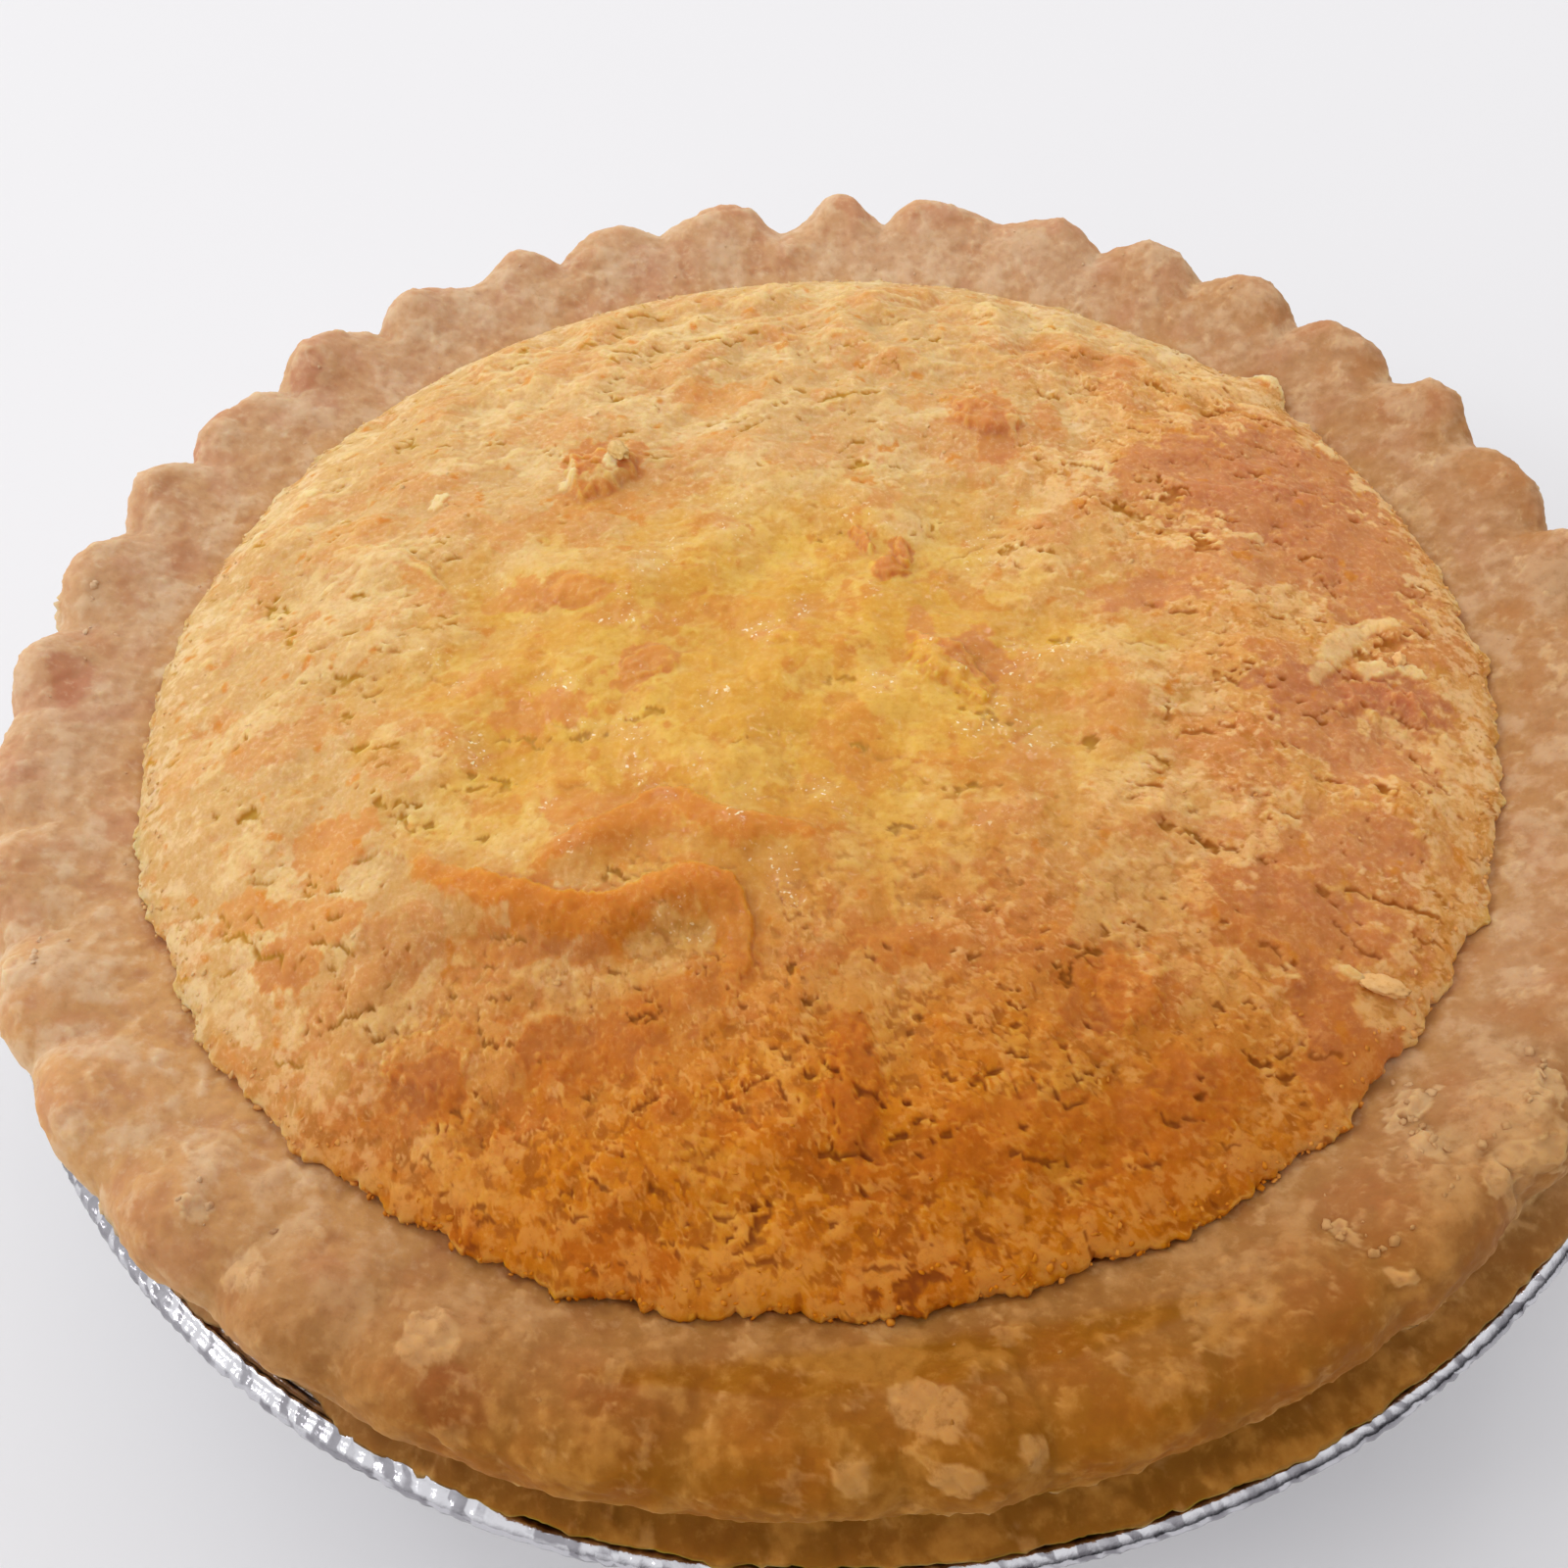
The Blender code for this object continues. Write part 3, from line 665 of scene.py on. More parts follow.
def custardRelief(x, y):  # height above the table and the masks of the finish, from the dome's centre
    place = np.column_stack((x, y))
    radius = np.hypot(x, y)
    seed = custard["seed"]
    inner = 1 - smooth(custard["calmFrom"], custard["calmTo"], radius)
    torn = ragged(place, 3.4, seed + 10)
    fray = np.column_stack((ragged(place, 2.2, seed + 44, 0.7), ragged(place, 2.2, seed + 47, 0.7)))
    height = solidTop(x, y)
    covered, folded = raiseFolds(height, x, y, inner, torn, fray)

    # on a steep side the fine relief follows the slope
    place = np.column_stack((x, y + 0.8 * (height - domeHeight(radius))))
    lying = place * (0.85, 1.0)  # what follows the strands lies across
    crumbly = ragged(lying, 1.7, seed + 20, 0.72)
    fine = ragged(place, 0.9, seed + 30, 0.7)
    wide = ragged(place, 9.0, seed + 40, 0.5)

    front = smooth(*custard["frontZone"], y + 0.009 * (x - 3) ** 2 + 1.4 * torn)
    right = smooth(*custard["rightZone"], x + 2.5 * torn + 1.5 * wide) * smooth(40, 22, y + 1.5 * torn)
    moist = 1 - smooth(0.55, 1.3, np.hypot((x + 3) / 27, (y + 8) / 20) + 0.08 * torn + 0.06 * wide)
    edge = smooth(*custard["edgeZone"], radius + 0.8 * torn)

    brown = np.zeros_like(x)
    for spot in brownings:
        brown = np.maximum(brown, spot[5] * patch(x, y, spot, 0.15 * torn + 0.12 * crumbly))
    hole = np.zeros_like(x)
    pulledX = x + 0.4 * fray[:, 0]
    pulledY = y + 0.3 * fray[:, 1]
    bitten = 0.1 + 0.55 * np.clip(crumbly, -1.0, 2) + 0.3 * fine
    for spot in crevices:
        hole = np.maximum(hole, opening(pulledX, pulledY, spot, bitten))

    # flakes of skin in three sizes, crumbs of two, and the skin that closes over them in places
    busy = np.maximum(front, 0.7 * right)
    quiet = inner * (1 - 0.55 * moist) * (0.6 + 0.4 * busy)
    layers = [plates(lying if order < 2 else place, size, seed + 100 + 20 * order, 0.15 * order, 0.5 * busy)
              for order, size in enumerate(custard["flakeSizes"])]
    for order, (raised, crack, _, _) in enumerate(layers):
        rise = custard["flakeRises"][order] * (1 + front * (order == 2))
        height += quiet * rise * raised
        if order < 2:
            hole = np.maximum(hole, (0.85 - 0.15 * order) * crack * (1 - 0.5 * moist))
    lumpNear, _, lumpTone = grains((lying + 0.3 * fray) / custard["crumbSize"], seed + 60)
    sandNear, _, sandTone = grains((place + 0.15 * fray) / custard["sandSize"], seed + 64)
    lump = np.clip(1 - lumpNear / 0.62, 0, 1) ** 0.7 * smooth(0.15, 0.45, lumpTone)
    sand = np.clip(1 - sandNear / 0.6, 0, 1) * smooth(0.3, 0.5, sandTone)
    crumbs = 0.85 * lump + 0.3 * sand + 0.2 * crumbly - 0.1
    closed = ragged(lying, custard["skinSize"], seed + 70) + 0.3 * crumbly
    skin = smooth(-0.12, 0.1, closed + 1.3 * brown + 0.7 * moist - 0.5 * front - 0.4 * edge)
    cream = smooth(-0.1, 0.9, ragged(lying, custard["creamSize"], seed + 80, 0.6))
    cream = np.clip(0.9 * cream + 0.3 * layers[2][0] * (1 - 0.5 * front) - 0.1, 0, 1)
    cream = cream * (0.6 + 0.4 * smooth(-0.7, 0.7, crumbly))
    peach = smooth(0.0, 0.9, ragged(lying, custard["peachSize"], seed + 90, 0.6)) * (1 - 0.4 * layers[1][0])

    strands, strandTone = layStrands(x, y)
    strands = strands * (1 - 0.7 * front) * (0.4 + 0.6 * moist)

    lumpy = custard["backRise"] * smooth(*custard["backZone"], y)
    lumpy = lumpy * ragged(place, custard["backSize"], seed + 12, 0.4)
    height += inner * (custard["wideRise"] * wide + lumpy + custard["tornRise"] * torn + strands)
    height += quiet * custard["skinRise"] * (skin - 0.5)
    skin = np.maximum(skin, covered)
    crumbs = crumbs * (1 - 0.75 * covered)
    hole = hole * (1 - covered)
    peach = np.maximum(peach, 0.9 * covered)
    crumbled = 1 - skin
    height += custard["crumbRise"] * crumbs * (0.3 + 0.7 * crumbled) * (0.7 + 0.3 * right + 1.2 * front)
    height -= inner * hole * custard["creviceDepth"] * (1 - 0.3 * moist)
    crumb = smooth(0.2, 0.95, crumbs) * (0.35 + 0.65 * crumbled) * (1 - hole)
    # darker amber in the low spots between crumbs and beside the flakes: partly the custard's own amber,
    # partly painted shade
    deep = smooth(0.22, -0.3, crumbs) * (0.25 + 0.75 * crumbled)
    deep = np.maximum(deep, 0.75 * np.maximum(layers[1][2], layers[2][2]) * (1 - 0.4 * moist))
    deep = deep * (0.5 + 0.5 * busy)
    crumb = crumb * (0.65 + 0.35 * busy)
    fringe = np.maximum(layers[1][3], layers[2][3]) * (1 - hole) * (1 - 0.6 * moist) * (1 - covered)
    crumb = np.maximum(crumb, 0.8 * fringe * (0.5 + 0.5 * busy))
    crumb = np.maximum(crumb, 0.8 * edge * smooth(-0.6, 0.9, crumbly))
    shown = raiseShreds(height, x, y, torn, crumbly, fine)
    masks = {
        "brown": np.clip(brown * (0.95 + 0.12 * torn), 0, 1) * (1 - 0.8 * shown),
        "crumb": np.maximum(crumb, 0.7 * shown),
        "deep": deep * (1 - shown),
        "hole": hole * (1 - shown),
        "cream": np.maximum(cream, shown),
        "peach": peach * (1 - shown),
        "front": front,
        "right": right,
        "moist": moist,
        "fold": folded * (1 - shown),
        "shred": shown,
        "strand": np.clip(strands * 6, 0, 1) * strandTone,
    }
    return height, masks


def flapAt(angle):  # 1 in the middle of the flap that hangs over the case
    return np.exp(-(degreesFrom(angle, custard["flapAt"]) / custard["flapWidth"]) ** 2)


def lipReach(angle):  # radius of the filling's ragged lip
    bites = custard["lipBites"]
    wobble = solidNoise(np.cos(angle) * bites, np.sin(angle) * bites, 1.0, (0, 0, 0))
    rag = cloud(polar(angle, form["lipRadius"]), 4.2, 71, 5, 0.7)
    fray = custard["lipFray"] * cloud(polar(angle, form["lipRadius"]), 1.5, 78, 2, 0.6)
    uneven = custard["lipWobble"] * wobble + custard["lipRag"] * rag + fray
    return form["lipRadius"] + uneven + custard["flapReach"] * flapAt(angle)


def discRings(gap, reach, most):  # radius and angle of points on rings, and the faces between them
    radii = np.arange(gap, reach + gap / 2, gap)
    counts = [most // 2 ** min(6, int(math.log2(reach / radius + 1e-9))) for radius in radii]
    spread = []
    faces = []
    first = 1
    for radius, count in zip(radii, counts):
        spread.append(np.column_stack((np.full(count, radius), np.arange(count) * 2 * math.pi / count)))
    for count, following in zip(counts[:-1], counts[1:]):
        here = np.arange(count)
        along = first + (here + 1) % count
        here = first + here
        start = first + count
        if following == count:
            quads = np.stack([here, here + count, along + count, along], axis=-1)
            faces += quads.tolist()
        else:
            near = start + 2 * np.arange(count)
            beyond = start + (2 * np.arange(count) + 2) % following
            faces += np.stack([here, near, near + 1], axis=-1).tolist()
            faces += np.stack([here, near + 1, along], axis=-1).tolist()
            faces += np.stack([along, near + 1, beyond], axis=-1).tolist()
        first = start
    faces += [(0, 1 + step, 1 + (step + 1) % counts[0]) for step in range(counts[0])]
    places = np.vstack([[[0.0, 0.0]]] + spread)
    return places[:, 0], places[:, 1], faces


custardTints = {  # at the left, in the moist middle, at the right and at the front, whose darker tints are partly browning and partly painted shade
    "plain": ((217, 171, 110), (222, 162, 50), (221, 158, 86), (200, 117, 4)),
    "light": ((238, 205, 156), (236, 194, 106), (240, 194, 138), (216, 146, 62)),
    "dark": ((202, 150, 66), (206, 142, 22), (190, 120, 34), (160, 80, 0)),
    "strand": ((230, 186, 116), (230, 178, 82), (232, 168, 98), (212, 134, 40)),
    "peach": ((218, 154, 92), (216, 140, 40), (206, 128, 70), (188, 98, 8)),
    "cream": ((234, 200, 140), (232, 188, 84), (238, 190, 126), (212, 142, 40)),
    "toast": ((220, 152, 82), (222, 148, 56), (208, 136, 80), (194, 106, 14)),
    "seared": ((206, 134, 74), (208, 130, 56), (196, 121, 77), (166, 86, 20)),
    "fold": ((216, 134, 36), (212, 130, 24), (212, 132, 40), (196, 112, 12)),
    "shred": ((238, 208, 156), (238, 200, 120), (238, 206, 146), (222, 170, 110)),
    # hole: darker amber inside the openings, partly the custard's own colour there, partly painted shade
    "hole": ((190, 138, 30), (196, 140, 8), (172, 98, 12), (140, 66, 0)),
}
glintTint = (255, 240, 200)


def custardFinish(name, depth):
    constants = {
        "IOR": 1.42,
        "Subsurface Weight": depth,
        "Subsurface Radius": (1.0, 0.6, 0.22),
        "Subsurface Scale": 0.0032,
        "Specular IOR Level": 0.16,
        "Coat Roughness": 0.12,
    }
    material, start, shader = startFinish(name, constants)
    place = start.node("ShaderNodeTexCoord", out="Object")
    patchy = start.grain(place, 3.0, 5.0, 0.65)
    speckle = start.grain(place, 0.7, 4.0, 0.7)
    sand = start.grain(place, 0.2, 2.0, 0.6)
    grit = start.grain(place, 0.45, 3.0, 0.7)
    front = start.mask("front")
    right = start.mask("right")
    moist = start.mask("moist")
    rag = 1.3 * (speckle - 0.5)
    crumb = (start.mask("crumb") + rag).between(0.25, 0.8)
    deep = (start.mask("deep") + 0.7 * rag).between(0.25, 0.85)
    cream = (start.mask("cream") + 0.5 * rag + 0.7 * (patchy - 0.5)).between(0.15, 0.85)
    peach = (start.mask("peach") + 0.5 * rag + 0.7 * (patchy - 0.5)).between(0.15, 0.85)
    brown = (start.mask("brown") + 0.25 * rag + 0.3 * (patchy - 0.5)).clamped()
    hole = (start.mask("hole") + 0.3 * rag).between(0.1, 0.95)

    def zoned(label):
        left, middle, rightward, frontward = custardTints[label]
        colour = start.colour(tint(*left)).blend(moist, tint(*middle))
        colour = colour.blend(right * (1 - 0.6 * moist), tint(*rightward))
        return colour.blend(front, tint(*frontward))

    fold = (start.mask("fold") + 0.5 * (patchy - 0.5)).between(0.1, 0.9)
    gritty = 0.37 - 0.12 * brown - 0.1 * front
    coats = [  # each tint over the ones before, and its share
        ("strand", start.mask("strand") * 0.3),
        ("peach", peach * 0.7),
        ("cream", cream * 0.65),
        # the dark tint over the low spots is painted shade, partly the custard's own amber
        ("dark", deep * 0.6),
        ("light", crumb * 0.65),
        ("toast", brown.between(0.1, 0.55) * (0.9 - 0.3 * crumb)),
        ("seared", brown.between(0.45, 0.95) * (0.88 - 0.4 * crumb)),
        ("fold", fold * 0.8),
        ("light", grit.between(0.5, 0.7) * gritty),
        ("dark", grit.between(0.5, 0.3) * gritty),
        ("shred", start.mask("shred") * 0.3),
        ("hole", hole * 0.9),
    ]
    colour = zoned("plain")
    for label, share in coats:
        colour = colour.blend(share, zoned(label))
    clusters = start.grain(place, 5.0, 2.0, 0.5).between(0.53, 0.67) * moist
    glints = start.grain(place, 0.34, 1.0, 0.5).between(0.64, 0.73) * clusters
    colour = colour.blend(glints, tint(*glintTint))
    feed(shader, "Base Color", colour)
    feed(shader, "Roughness", (0.62 - 0.26 * moist - 0.2 * clusters + 0.1 * crumb).clamped())
    feed(shader, "Coat Weight", (0.4 * moist + 0.5 * clusters) * (1 - crumb))
    bumps = {"Height": 0.6 * grit + 0.4 * sand, "Strength": 0.5, "Distance": 0.045 * mm}
    feed(shader, "Normal", start.node("ShaderNodeBump", {}, bumps))
    return material


def bakeCustard(finish):
    steps = custard["steps"]
    reach, angle, faces = discRings(custard["ringGap"], form["lipRadius"], steps)
    share = reach / form["lipRadius"]
    reach = reach + (lipReach(angle) - form["lipRadius"]) * smooth(0.86, 1.0, share)
    x = reach * np.cos(angle)
    y = reach * np.sin(angle)
    height, masks = custardRelief(x, y)
    height = height - custard["lipDrop"] * smooth(0.975, 1.0, share) ** 2
    nudge = custard["nudge"] * smooth(1.0, 0.97, share)
    place = np.column_stack((x, y))
    x = x + nudge * cloud(place, 0.8, 81, 2)
    y = y + nudge * cloud(place, 0.8, 85, 2)
    top = np.column_stack((x + leanAt(height), y, np.minimum(height, form["top"] - 0.03)))

    # under the lip and down inside the case
    turn = angle[-steps:]
    out = lipReach(turn)
    cavity = form["wall"] + 2 * form["gap"]
    floor = form["foil"] + form["floor"] + 2 * form["gap"]
    nibble = custard["nibble"] * cloud(polar(turn, 50.0), 0.9, 75, 2)
    below = [
        (out + 0.08 + nibble * 0.6, form["lipHeight"] - 0.45 + 0.3 * nibble),
        (out + 0.06 + nibble, form["lipHeight"] - 0.8),
        (out - 0.1 + nibble, form["lipHeight"] - 1.15 + 0.4 * np.clip(out - 50, 0, 2)),
        (custard["cavityReach"], form["rimHeight"] + 4.6),
        (tinWall(form["rimHeight"]) - cavity, form["rimHeight"]),
        (tinWall(floor) - cavity, floor),
    ]
    rings = [top]
    for ringReach, ringHeight in below:
        ring = ringPoints(ringReach, turn, ringHeight)
        ring[:, 0] += leanAt(ring[:, 2])
        rings.append(ring)
    rings.append(np.array([[0.0, 0.0, floor]]))
    points = np.vstack(rings)
    faces += ringFaces(len(below) + 1, steps, len(top) - steps)
    last = len(points) - 1 - steps
    faces += fanFaces(np.arange(last, last + steps), len(points) - 1, True)
    for name in masks:
        masks[name] = np.concatenate((masks[name], np.tile(masks[name][-steps:], len(below)), [0.0]))
    makePiece("bakedCustard", points, faces, finish, "filling", masks)


crust = {
    "steps": 1440,
    "visibleRings": 74,
    "ledgeRings": 12,
    "roll": [(49.3, 4.9), (50.6, 5.5), (52.2, 6.2), (55.0, 7.6), (57.8, 8.5), (59.6, 7.9),
             (60.5, 6.2), (60.3, 4.2), (59.4, 2.5)],
    "ledge": [(59.4, 2.5), (60.1, 1.95), (61.1, 1.6), (61.75, 1.3), (62.0, 1.0), (61.7, 0.75), (60.9, 0.4)],
    "flutes": 36,
    "fluteRise": 1.2,
    "flutePush": 0.5,
    "flutePhase": 7.0,
    "fluteWander": 1.9,
    "wanderAt": 110.0,
    "fluteSharpness": 1.2,
    "fluteZone": (54.0, 58.5),
    "pillowZone": (51.5, 56.0),  # at the front the flutes are broad pillows
    "notchAt": 90.3,  # the one deep notch
    "notchWidth": 2.7,
    "notchDepth": 1.3,
    "fluteHeights": (29.2, 32.0),
    "frontCrispness": 0.6,
    "pillowRise": 0.5,
    "pillowCount": 4.5,
    "doughRise": 0.5,
    "lumpRise": 0.06,
    "flakeRise": 0.06,
    "grainRise": 0.045,
    "heapRise": 0.34,
    "shownFoil": (-143.0, -136.0, -114.0, -108.0),  # where the ledge leaves more of the bead bare
    "shownWidth": 0.16,
    "bareFoil": (-130.5, -127.0, -122.0, -118.5),  # and where it leaves a groove beside it
    "bareWidth": 1.05,
    "raggedRise": 0.35,
    "frontZone": (-28, -59),  # where the browner, darker front begins and is full: partly browning, partly painted shade
    # the darker right side: partly browning, partly painted shade
    "rightZone": (5, 60),
    "frontTurn": 0.10,  # the front's browning and painted shade lean to the right
    "rimSpace": 0.3,  # left to the tin's rim
    "seed": 300,
}

doughSpots = [  # angle, radius, half length and half width, and how pale or, below 0, how browned
    (-84.7, 55.9, 2.4, 1.9, 0.8),
    (-113.0, 55.6, 1.9, 1.6, 0.9),
    (-124.7, 57.5, 1.7, 1.3, 0.8),
    (-133.8, 53.7, 2.2, 1.3, 0.5),
    (-128.0, 50.8, 1.8, 0.9, 0.5),
    (-140.2, 59.0, 1.6, 1.1, 0.6),
    (-79.5, 59.0, 1.0, 1.0, 0.9),
    (-88.8, 59.2, 1.2, 0.8, 0.8),
    (-83.8, 59.6, 1.6, 0.7, 0.9),
    (-66.0, 54.5, 3.0, 2.0, 0.45),
    (-72.0, 57.5, 2.0, 1.4, 0.35),
    (-45.0, 56.0, 5.0, 2.2, 0.6),
    (-48.0, 59.0, 2.6, 1.4, 0.6),
    (16.5, 51.8, 2.6, 1.2, 0.5),
    (133.8, 58.8, 2.0, 1.2, 0.5),
    (128.0, 54.0, 1.8, 1.5, 0.4),
    (166.8, 57.6, 1.6, 1.0, 0.8),
    (-152.8, 58.5, 1.6, 0.9, 0.5),
    (-110.2, 58.0, 2.4, 1.7, -0.9),
    (-100.8, 56.6, 3.4, 2.2, -0.6),
    (-93.0, 54.5, 1.6, 2.4, -0.5),
    (-77.0, 54.5, 1.8, 2.6, -0.5),
    (-62.0, 57.5, 2.0, 2.6, -0.5),
    (-56.0, 54.0, 2.6, 1.8, -0.5),
    (179.8, 55.9, 3.0, 1.6, -0.9),
    (149.0, 60.2, 4.5, 1.6, -0.9),
    (141.0, 57.0, 2.0, 1.3, -0.8),
    (-146.0, 56.5, 2.0, 2.0, -0.5),
    (96.5, 58.5, 3.0, 1.2, -0.5),
    (84.0, 58.0, 2.6, 1.2, -0.5),
    (40.0, 58.0, 3.0, 1.4, -0.4),
    (25.0, 56.0, 2.6, 1.8, -0.5),
]

heaps = [  # angle, radius, half length and half width of flaky crumbs that cling together
    (-47.6, 52.3, 1.9, 0.9),
    (-49.4, 54.2, 1.3, 1.1),
    (-48.2, 58.6, 2.3, 1.0),
    (-42.4, 57.4, 2.2, 1.2),
    (-45.4, 59.3, 1.3, 0.8),
    (-57.2, 58.9, 0.8, 0.7),
    (-57.5, 54.9, 0.5, 1.2),
    (172.5, 60.2, 1.5, 0.5),
    (-152.8, 58.5, 1.3, 0.6),
    (-130.0, 56.6, 1.0, 0.7),
]


def fluteAt(angle):  # from -1 in a notch to 1 on a peak
    wander = math.radians(crust["fluteWander"]) * np.sin(angle - math.radians(crust["wanderAt"]))
    uneven = math.radians(1.6) * waves(polar(angle, 7.0), crust["seed"] + 50)
    phase = crust["flutes"] * (angle - math.radians(crust["flutePhase"]) - wander - uneven)
    return 2 * np.abs(np.cos(phase / 2)) ** crust["fluteSharpness"] - 1


def splinePoints(knots, count):  # evenly spaced points on a smooth curve through the knots
    line = smoothLine(knots, 24)
    run = np.concatenate(([0], np.cumsum(np.linalg.norm(np.diff(line, axis=0), axis=1))))
    even = np.linspace(0, run[-1], count)
    return np.column_stack((np.interp(even, run, line[:, 0]), np.interp(even, run, line[:, 1])))


def surfaceNormals(grid):  # of a grid of rings, each closed on itself
    around = np.roll(grid, -1, axis=1) - np.roll(grid, 1, axis=1)
    down = np.gradient(grid, axis=0)
    normal = np.cross(down, around)
    return normal / np.linalg.norm(normal, axis=2)[:, :, None]


crustTints = {  # at the left and the back, at the right and at the front, whose darker tints are partly browning and partly painted shade
    "plain": ((209, 167, 129), (182, 134, 90), (146, 89, 12)),
    "broad": ((212, 164, 112), (184, 130, 74), (162, 98, 10)),
    "butter": ((208, 156, 90), (184, 128, 60), (164, 102, 18)),
    "rosy": ((206, 148, 120), (192, 138, 102), (170, 98, 22)),
    "crease": ((196, 138, 96), (180, 120, 66), (148, 82, 8)),
    "blush": ((204, 130, 104), (188, 120, 84), (156, 88, 28)),
    "brown": ((194, 118, 88), (176, 104, 60), (142, 72, 10)),
    # the tint of the painted shade in the case's hollows
    "hollow": ((170, 124, 76), (186, 144, 92), (128, 82, 18)),
    "cream": ((222, 190, 154), (204, 166, 126), (182, 124, 48)),
    "pale": ((228, 202, 166), (236, 204, 152), (216, 164, 98)),
    "light": ((228, 198, 160), (206, 168, 126), (186, 130, 54)),
    "dark": ((186, 136, 94), (160, 110, 64), (134, 78, 8)),
}
goldTint = (218, 160, 84)


def crustFinish(name, depth):
    constants = {
        "IOR": 1.4,
        "Subsurface Weight": depth,
        "Subsurface Radius": (1.0, 0.6, 0.3),
        "Subsurface Scale": 0.0018,
        "Specular IOR Level": 0.16,
    }
    material, start, shader = startFinish(name, constants)
    place = start.node("ShaderNodeTexCoord", out="Object")
    broad = start.grain(place, 9.0, 3.0, 0.5).between(0.30, 0.70)
    patchy = start.grain(place, 2.0, 4.0, 0.62)
    speckle = start.grain(place, 0.9, 4.0, 0.65)
    sand = start.grain(place, 0.25, 2.0, 0.6)
    rag = 0.8 * (speckle - 0.5) + 0.7 * (patchy - 0.5)
    front = start.mask("front")
    right = start.mask("right")
    cream = (start.mask("cream") + rag).between(-0.1, 1.1)
    rosy = (start.mask("rosy") + rag).between(-0.1, 1.1)
    crease = (start.mask("crease") + rag).between(0.0, 1.1)
    pale = (start.mask("pale") + 0.7 * rag).between(0.0, 1.0)
    brown = (start.mask("brown") + 0.5 * rag).clamped()

    def zoned(label):
        leftward, rightward, frontward = crustTints[label]
        colour = start.colour(tint(*leftward)).blend(right, tint(*rightward))
        return colour.blend(front, tint(*frontward))

    coats = [  # each tint over the ones before, and its share
        ("broad", broad * 0.5),
        ("butter", start.mask("butter") * 0.6),
        ("rosy", rosy * 0.4),
        ("crease", crease * 0.6),
        ("blush", start.mask("blush") * 0.12),
        ("brown", brown * 0.6),
        # painted shade in the hollows of the case
        ("hollow", start.mask("hollow") * 0.6),
        ("cream", cream * 0.65),
        ("pale", pale * 0.5),
        ("light", speckle.between(0.5, 0.72) * 0.4),
        ("dark", speckle.between(0.5, 0.3) * 0.35),
    ]
    colour = zoned("plain").blend(start.mask("gold") * 0.6, tint(*goldTint))
    for label, share in coats:
        colour = colour.blend(share, zoned(label))
    feed(shader, "Base Color", colour)
    feed(shader, "Roughness", (0.62 + 0.14 * patchy - 0.12 * start.mask("butter")).clamped())
    bumps = {"Height": 0.5 * patchy + 0.4 * speckle + 0.1 * sand, "Strength": 0.5, "Distance": 0.2 * mm}
    feed(shader, "Normal", start.node("ShaderNodeBump", {}, bumps))
    return material


def towardsFront(turn):
    return smooth(0.1, -0.8, np.sin(turn))


def overGrid(values, steps):  # one value for each ring, given to all its points
    return np.repeat(values[:, None], steps, axis=1)


def rollCrust(turn):  # the side that shows: profile, grid, fluting, and each point's share of it
    profile = splinePoints(crust["roll"], crust["visibleRings"])
    ledge = splinePoints(crust["ledge"], crust["ledgeRings"])[1:]
    profile = np.vstack((profile, ledge)) + (0, form["rimHeight"])
    radius = overGrid(profile[:, 0], len(turn))
    height = overGrid(profile[:, 1], len(turn))
    angle = np.repeat(turn[None, :], len(profile), axis=0)

    crispness = crust["frontCrispness"] + (1 - crust["frontCrispness"]) * (1 + np.sin(turn)) / 2
    toFront = towardsFront(turn)
    low = crust["fluteZone"][0] + toFront * (crust["pillowZone"][0] - crust["fluteZone"][0])
    high = crust["fluteZone"][1] + toFront * (crust["pillowZone"][1] - crust["fluteZone"][1])
    share = smooth(low, high, radius) * smooth(*crust["fluteHeights"], height)
    pillows = crust["pillowCount"]
    pillow = solidNoise(np.cos(turn) * pillows, np.sin(turn) * pillows, 1.0, (0, 0, 0.4 * pillows))
    own = 0.85 + 0.6 * waves(polar(turn, 5.0), crust["seed"] + 60)
    fluting = fluteAt(turn)
    flute = crispness * fluting * own
    radius = radius + share * crust["flutePush"] * flute
    notch = np.exp(-(degreesFrom(turn, crust["notchAt"]) / crust["notchWidth"]) ** 4)
    lifted = height + share * (crust["fluteRise"] * flute + crust["pillowRise"] * pillow)
    lifted = lifted - share * crust["notchDepth"] * notch

    # the ledge stops short of the bead for a stretch
    bearing = degreesFrom(turn, 0)
    shown = 0.0
    for stretch, width in (("shownFoil", "shownWidth"), ("bareFoil", "bareWidth")):
        start, full, fullEnd, end = crust[stretch]
        shown = shown + crust[width] * smooth(start, full, bearing) * (1 - smooth(fullEnd, end, bearing))
    rag = crust["raggedRise"] * cloud(polar(turn, 61.0), 3.0, crust["seed"] + 70, 4, 0.6)
    outward = smooth(59.2, 61.4, profile[:, 0]) * (np.arange(len(profile)) > crust["visibleRings"] - 2)
    radius = radius - outward[:, None] * (shown + 0.25 * shown * rag + np.abs(rag) * 0.6)
    grid = np.stack((radius * np.cos(angle) + leanAt(height), radius * np.sin(angle), lifted), axis=-1)
    return profile, grid, fluting, share


def placeDough(turn, profile, blotch, small):  # where it is pale, browned or heaped with flaky crumbs
    aroundRim = np.repeat(degreesFrom(turn, 0)[None, :], len(profile), axis=0).ravel()
    across = overGrid(profile[:, 0], len(turn)).ravel()
    visible = overGrid(np.arange(len(profile)) < crust["visibleRings"], len(turn)).ravel()

    def ovalAt(spot, rag):  # 1 inside a ragged oval on the case
        turned = (aroundRim - spot[0] + 180) % 360 - 180
        along = np.radians(turned) * spot[1]
        return patch(along, across - spot[1], (0, 0, spot[2], spot[3], 0), rag) * visible

    pale, brown, heaped = np.zeros((3, len(across)))
    for spot in doughSpots:
        on = ovalAt(spot, 0.16 * blotch) * abs(spot[4])
        if spot[4] > 0:
            pale = np.maximum(pale, on)
        else:
            brown = np.maximum(brown, on)
    for spot in heaps:
        heaped = np.maximum(heaped, ovalAt(spot, 0.08 + 0.34 * small + 0.14 * blotch))
    return pale, brown, heaped


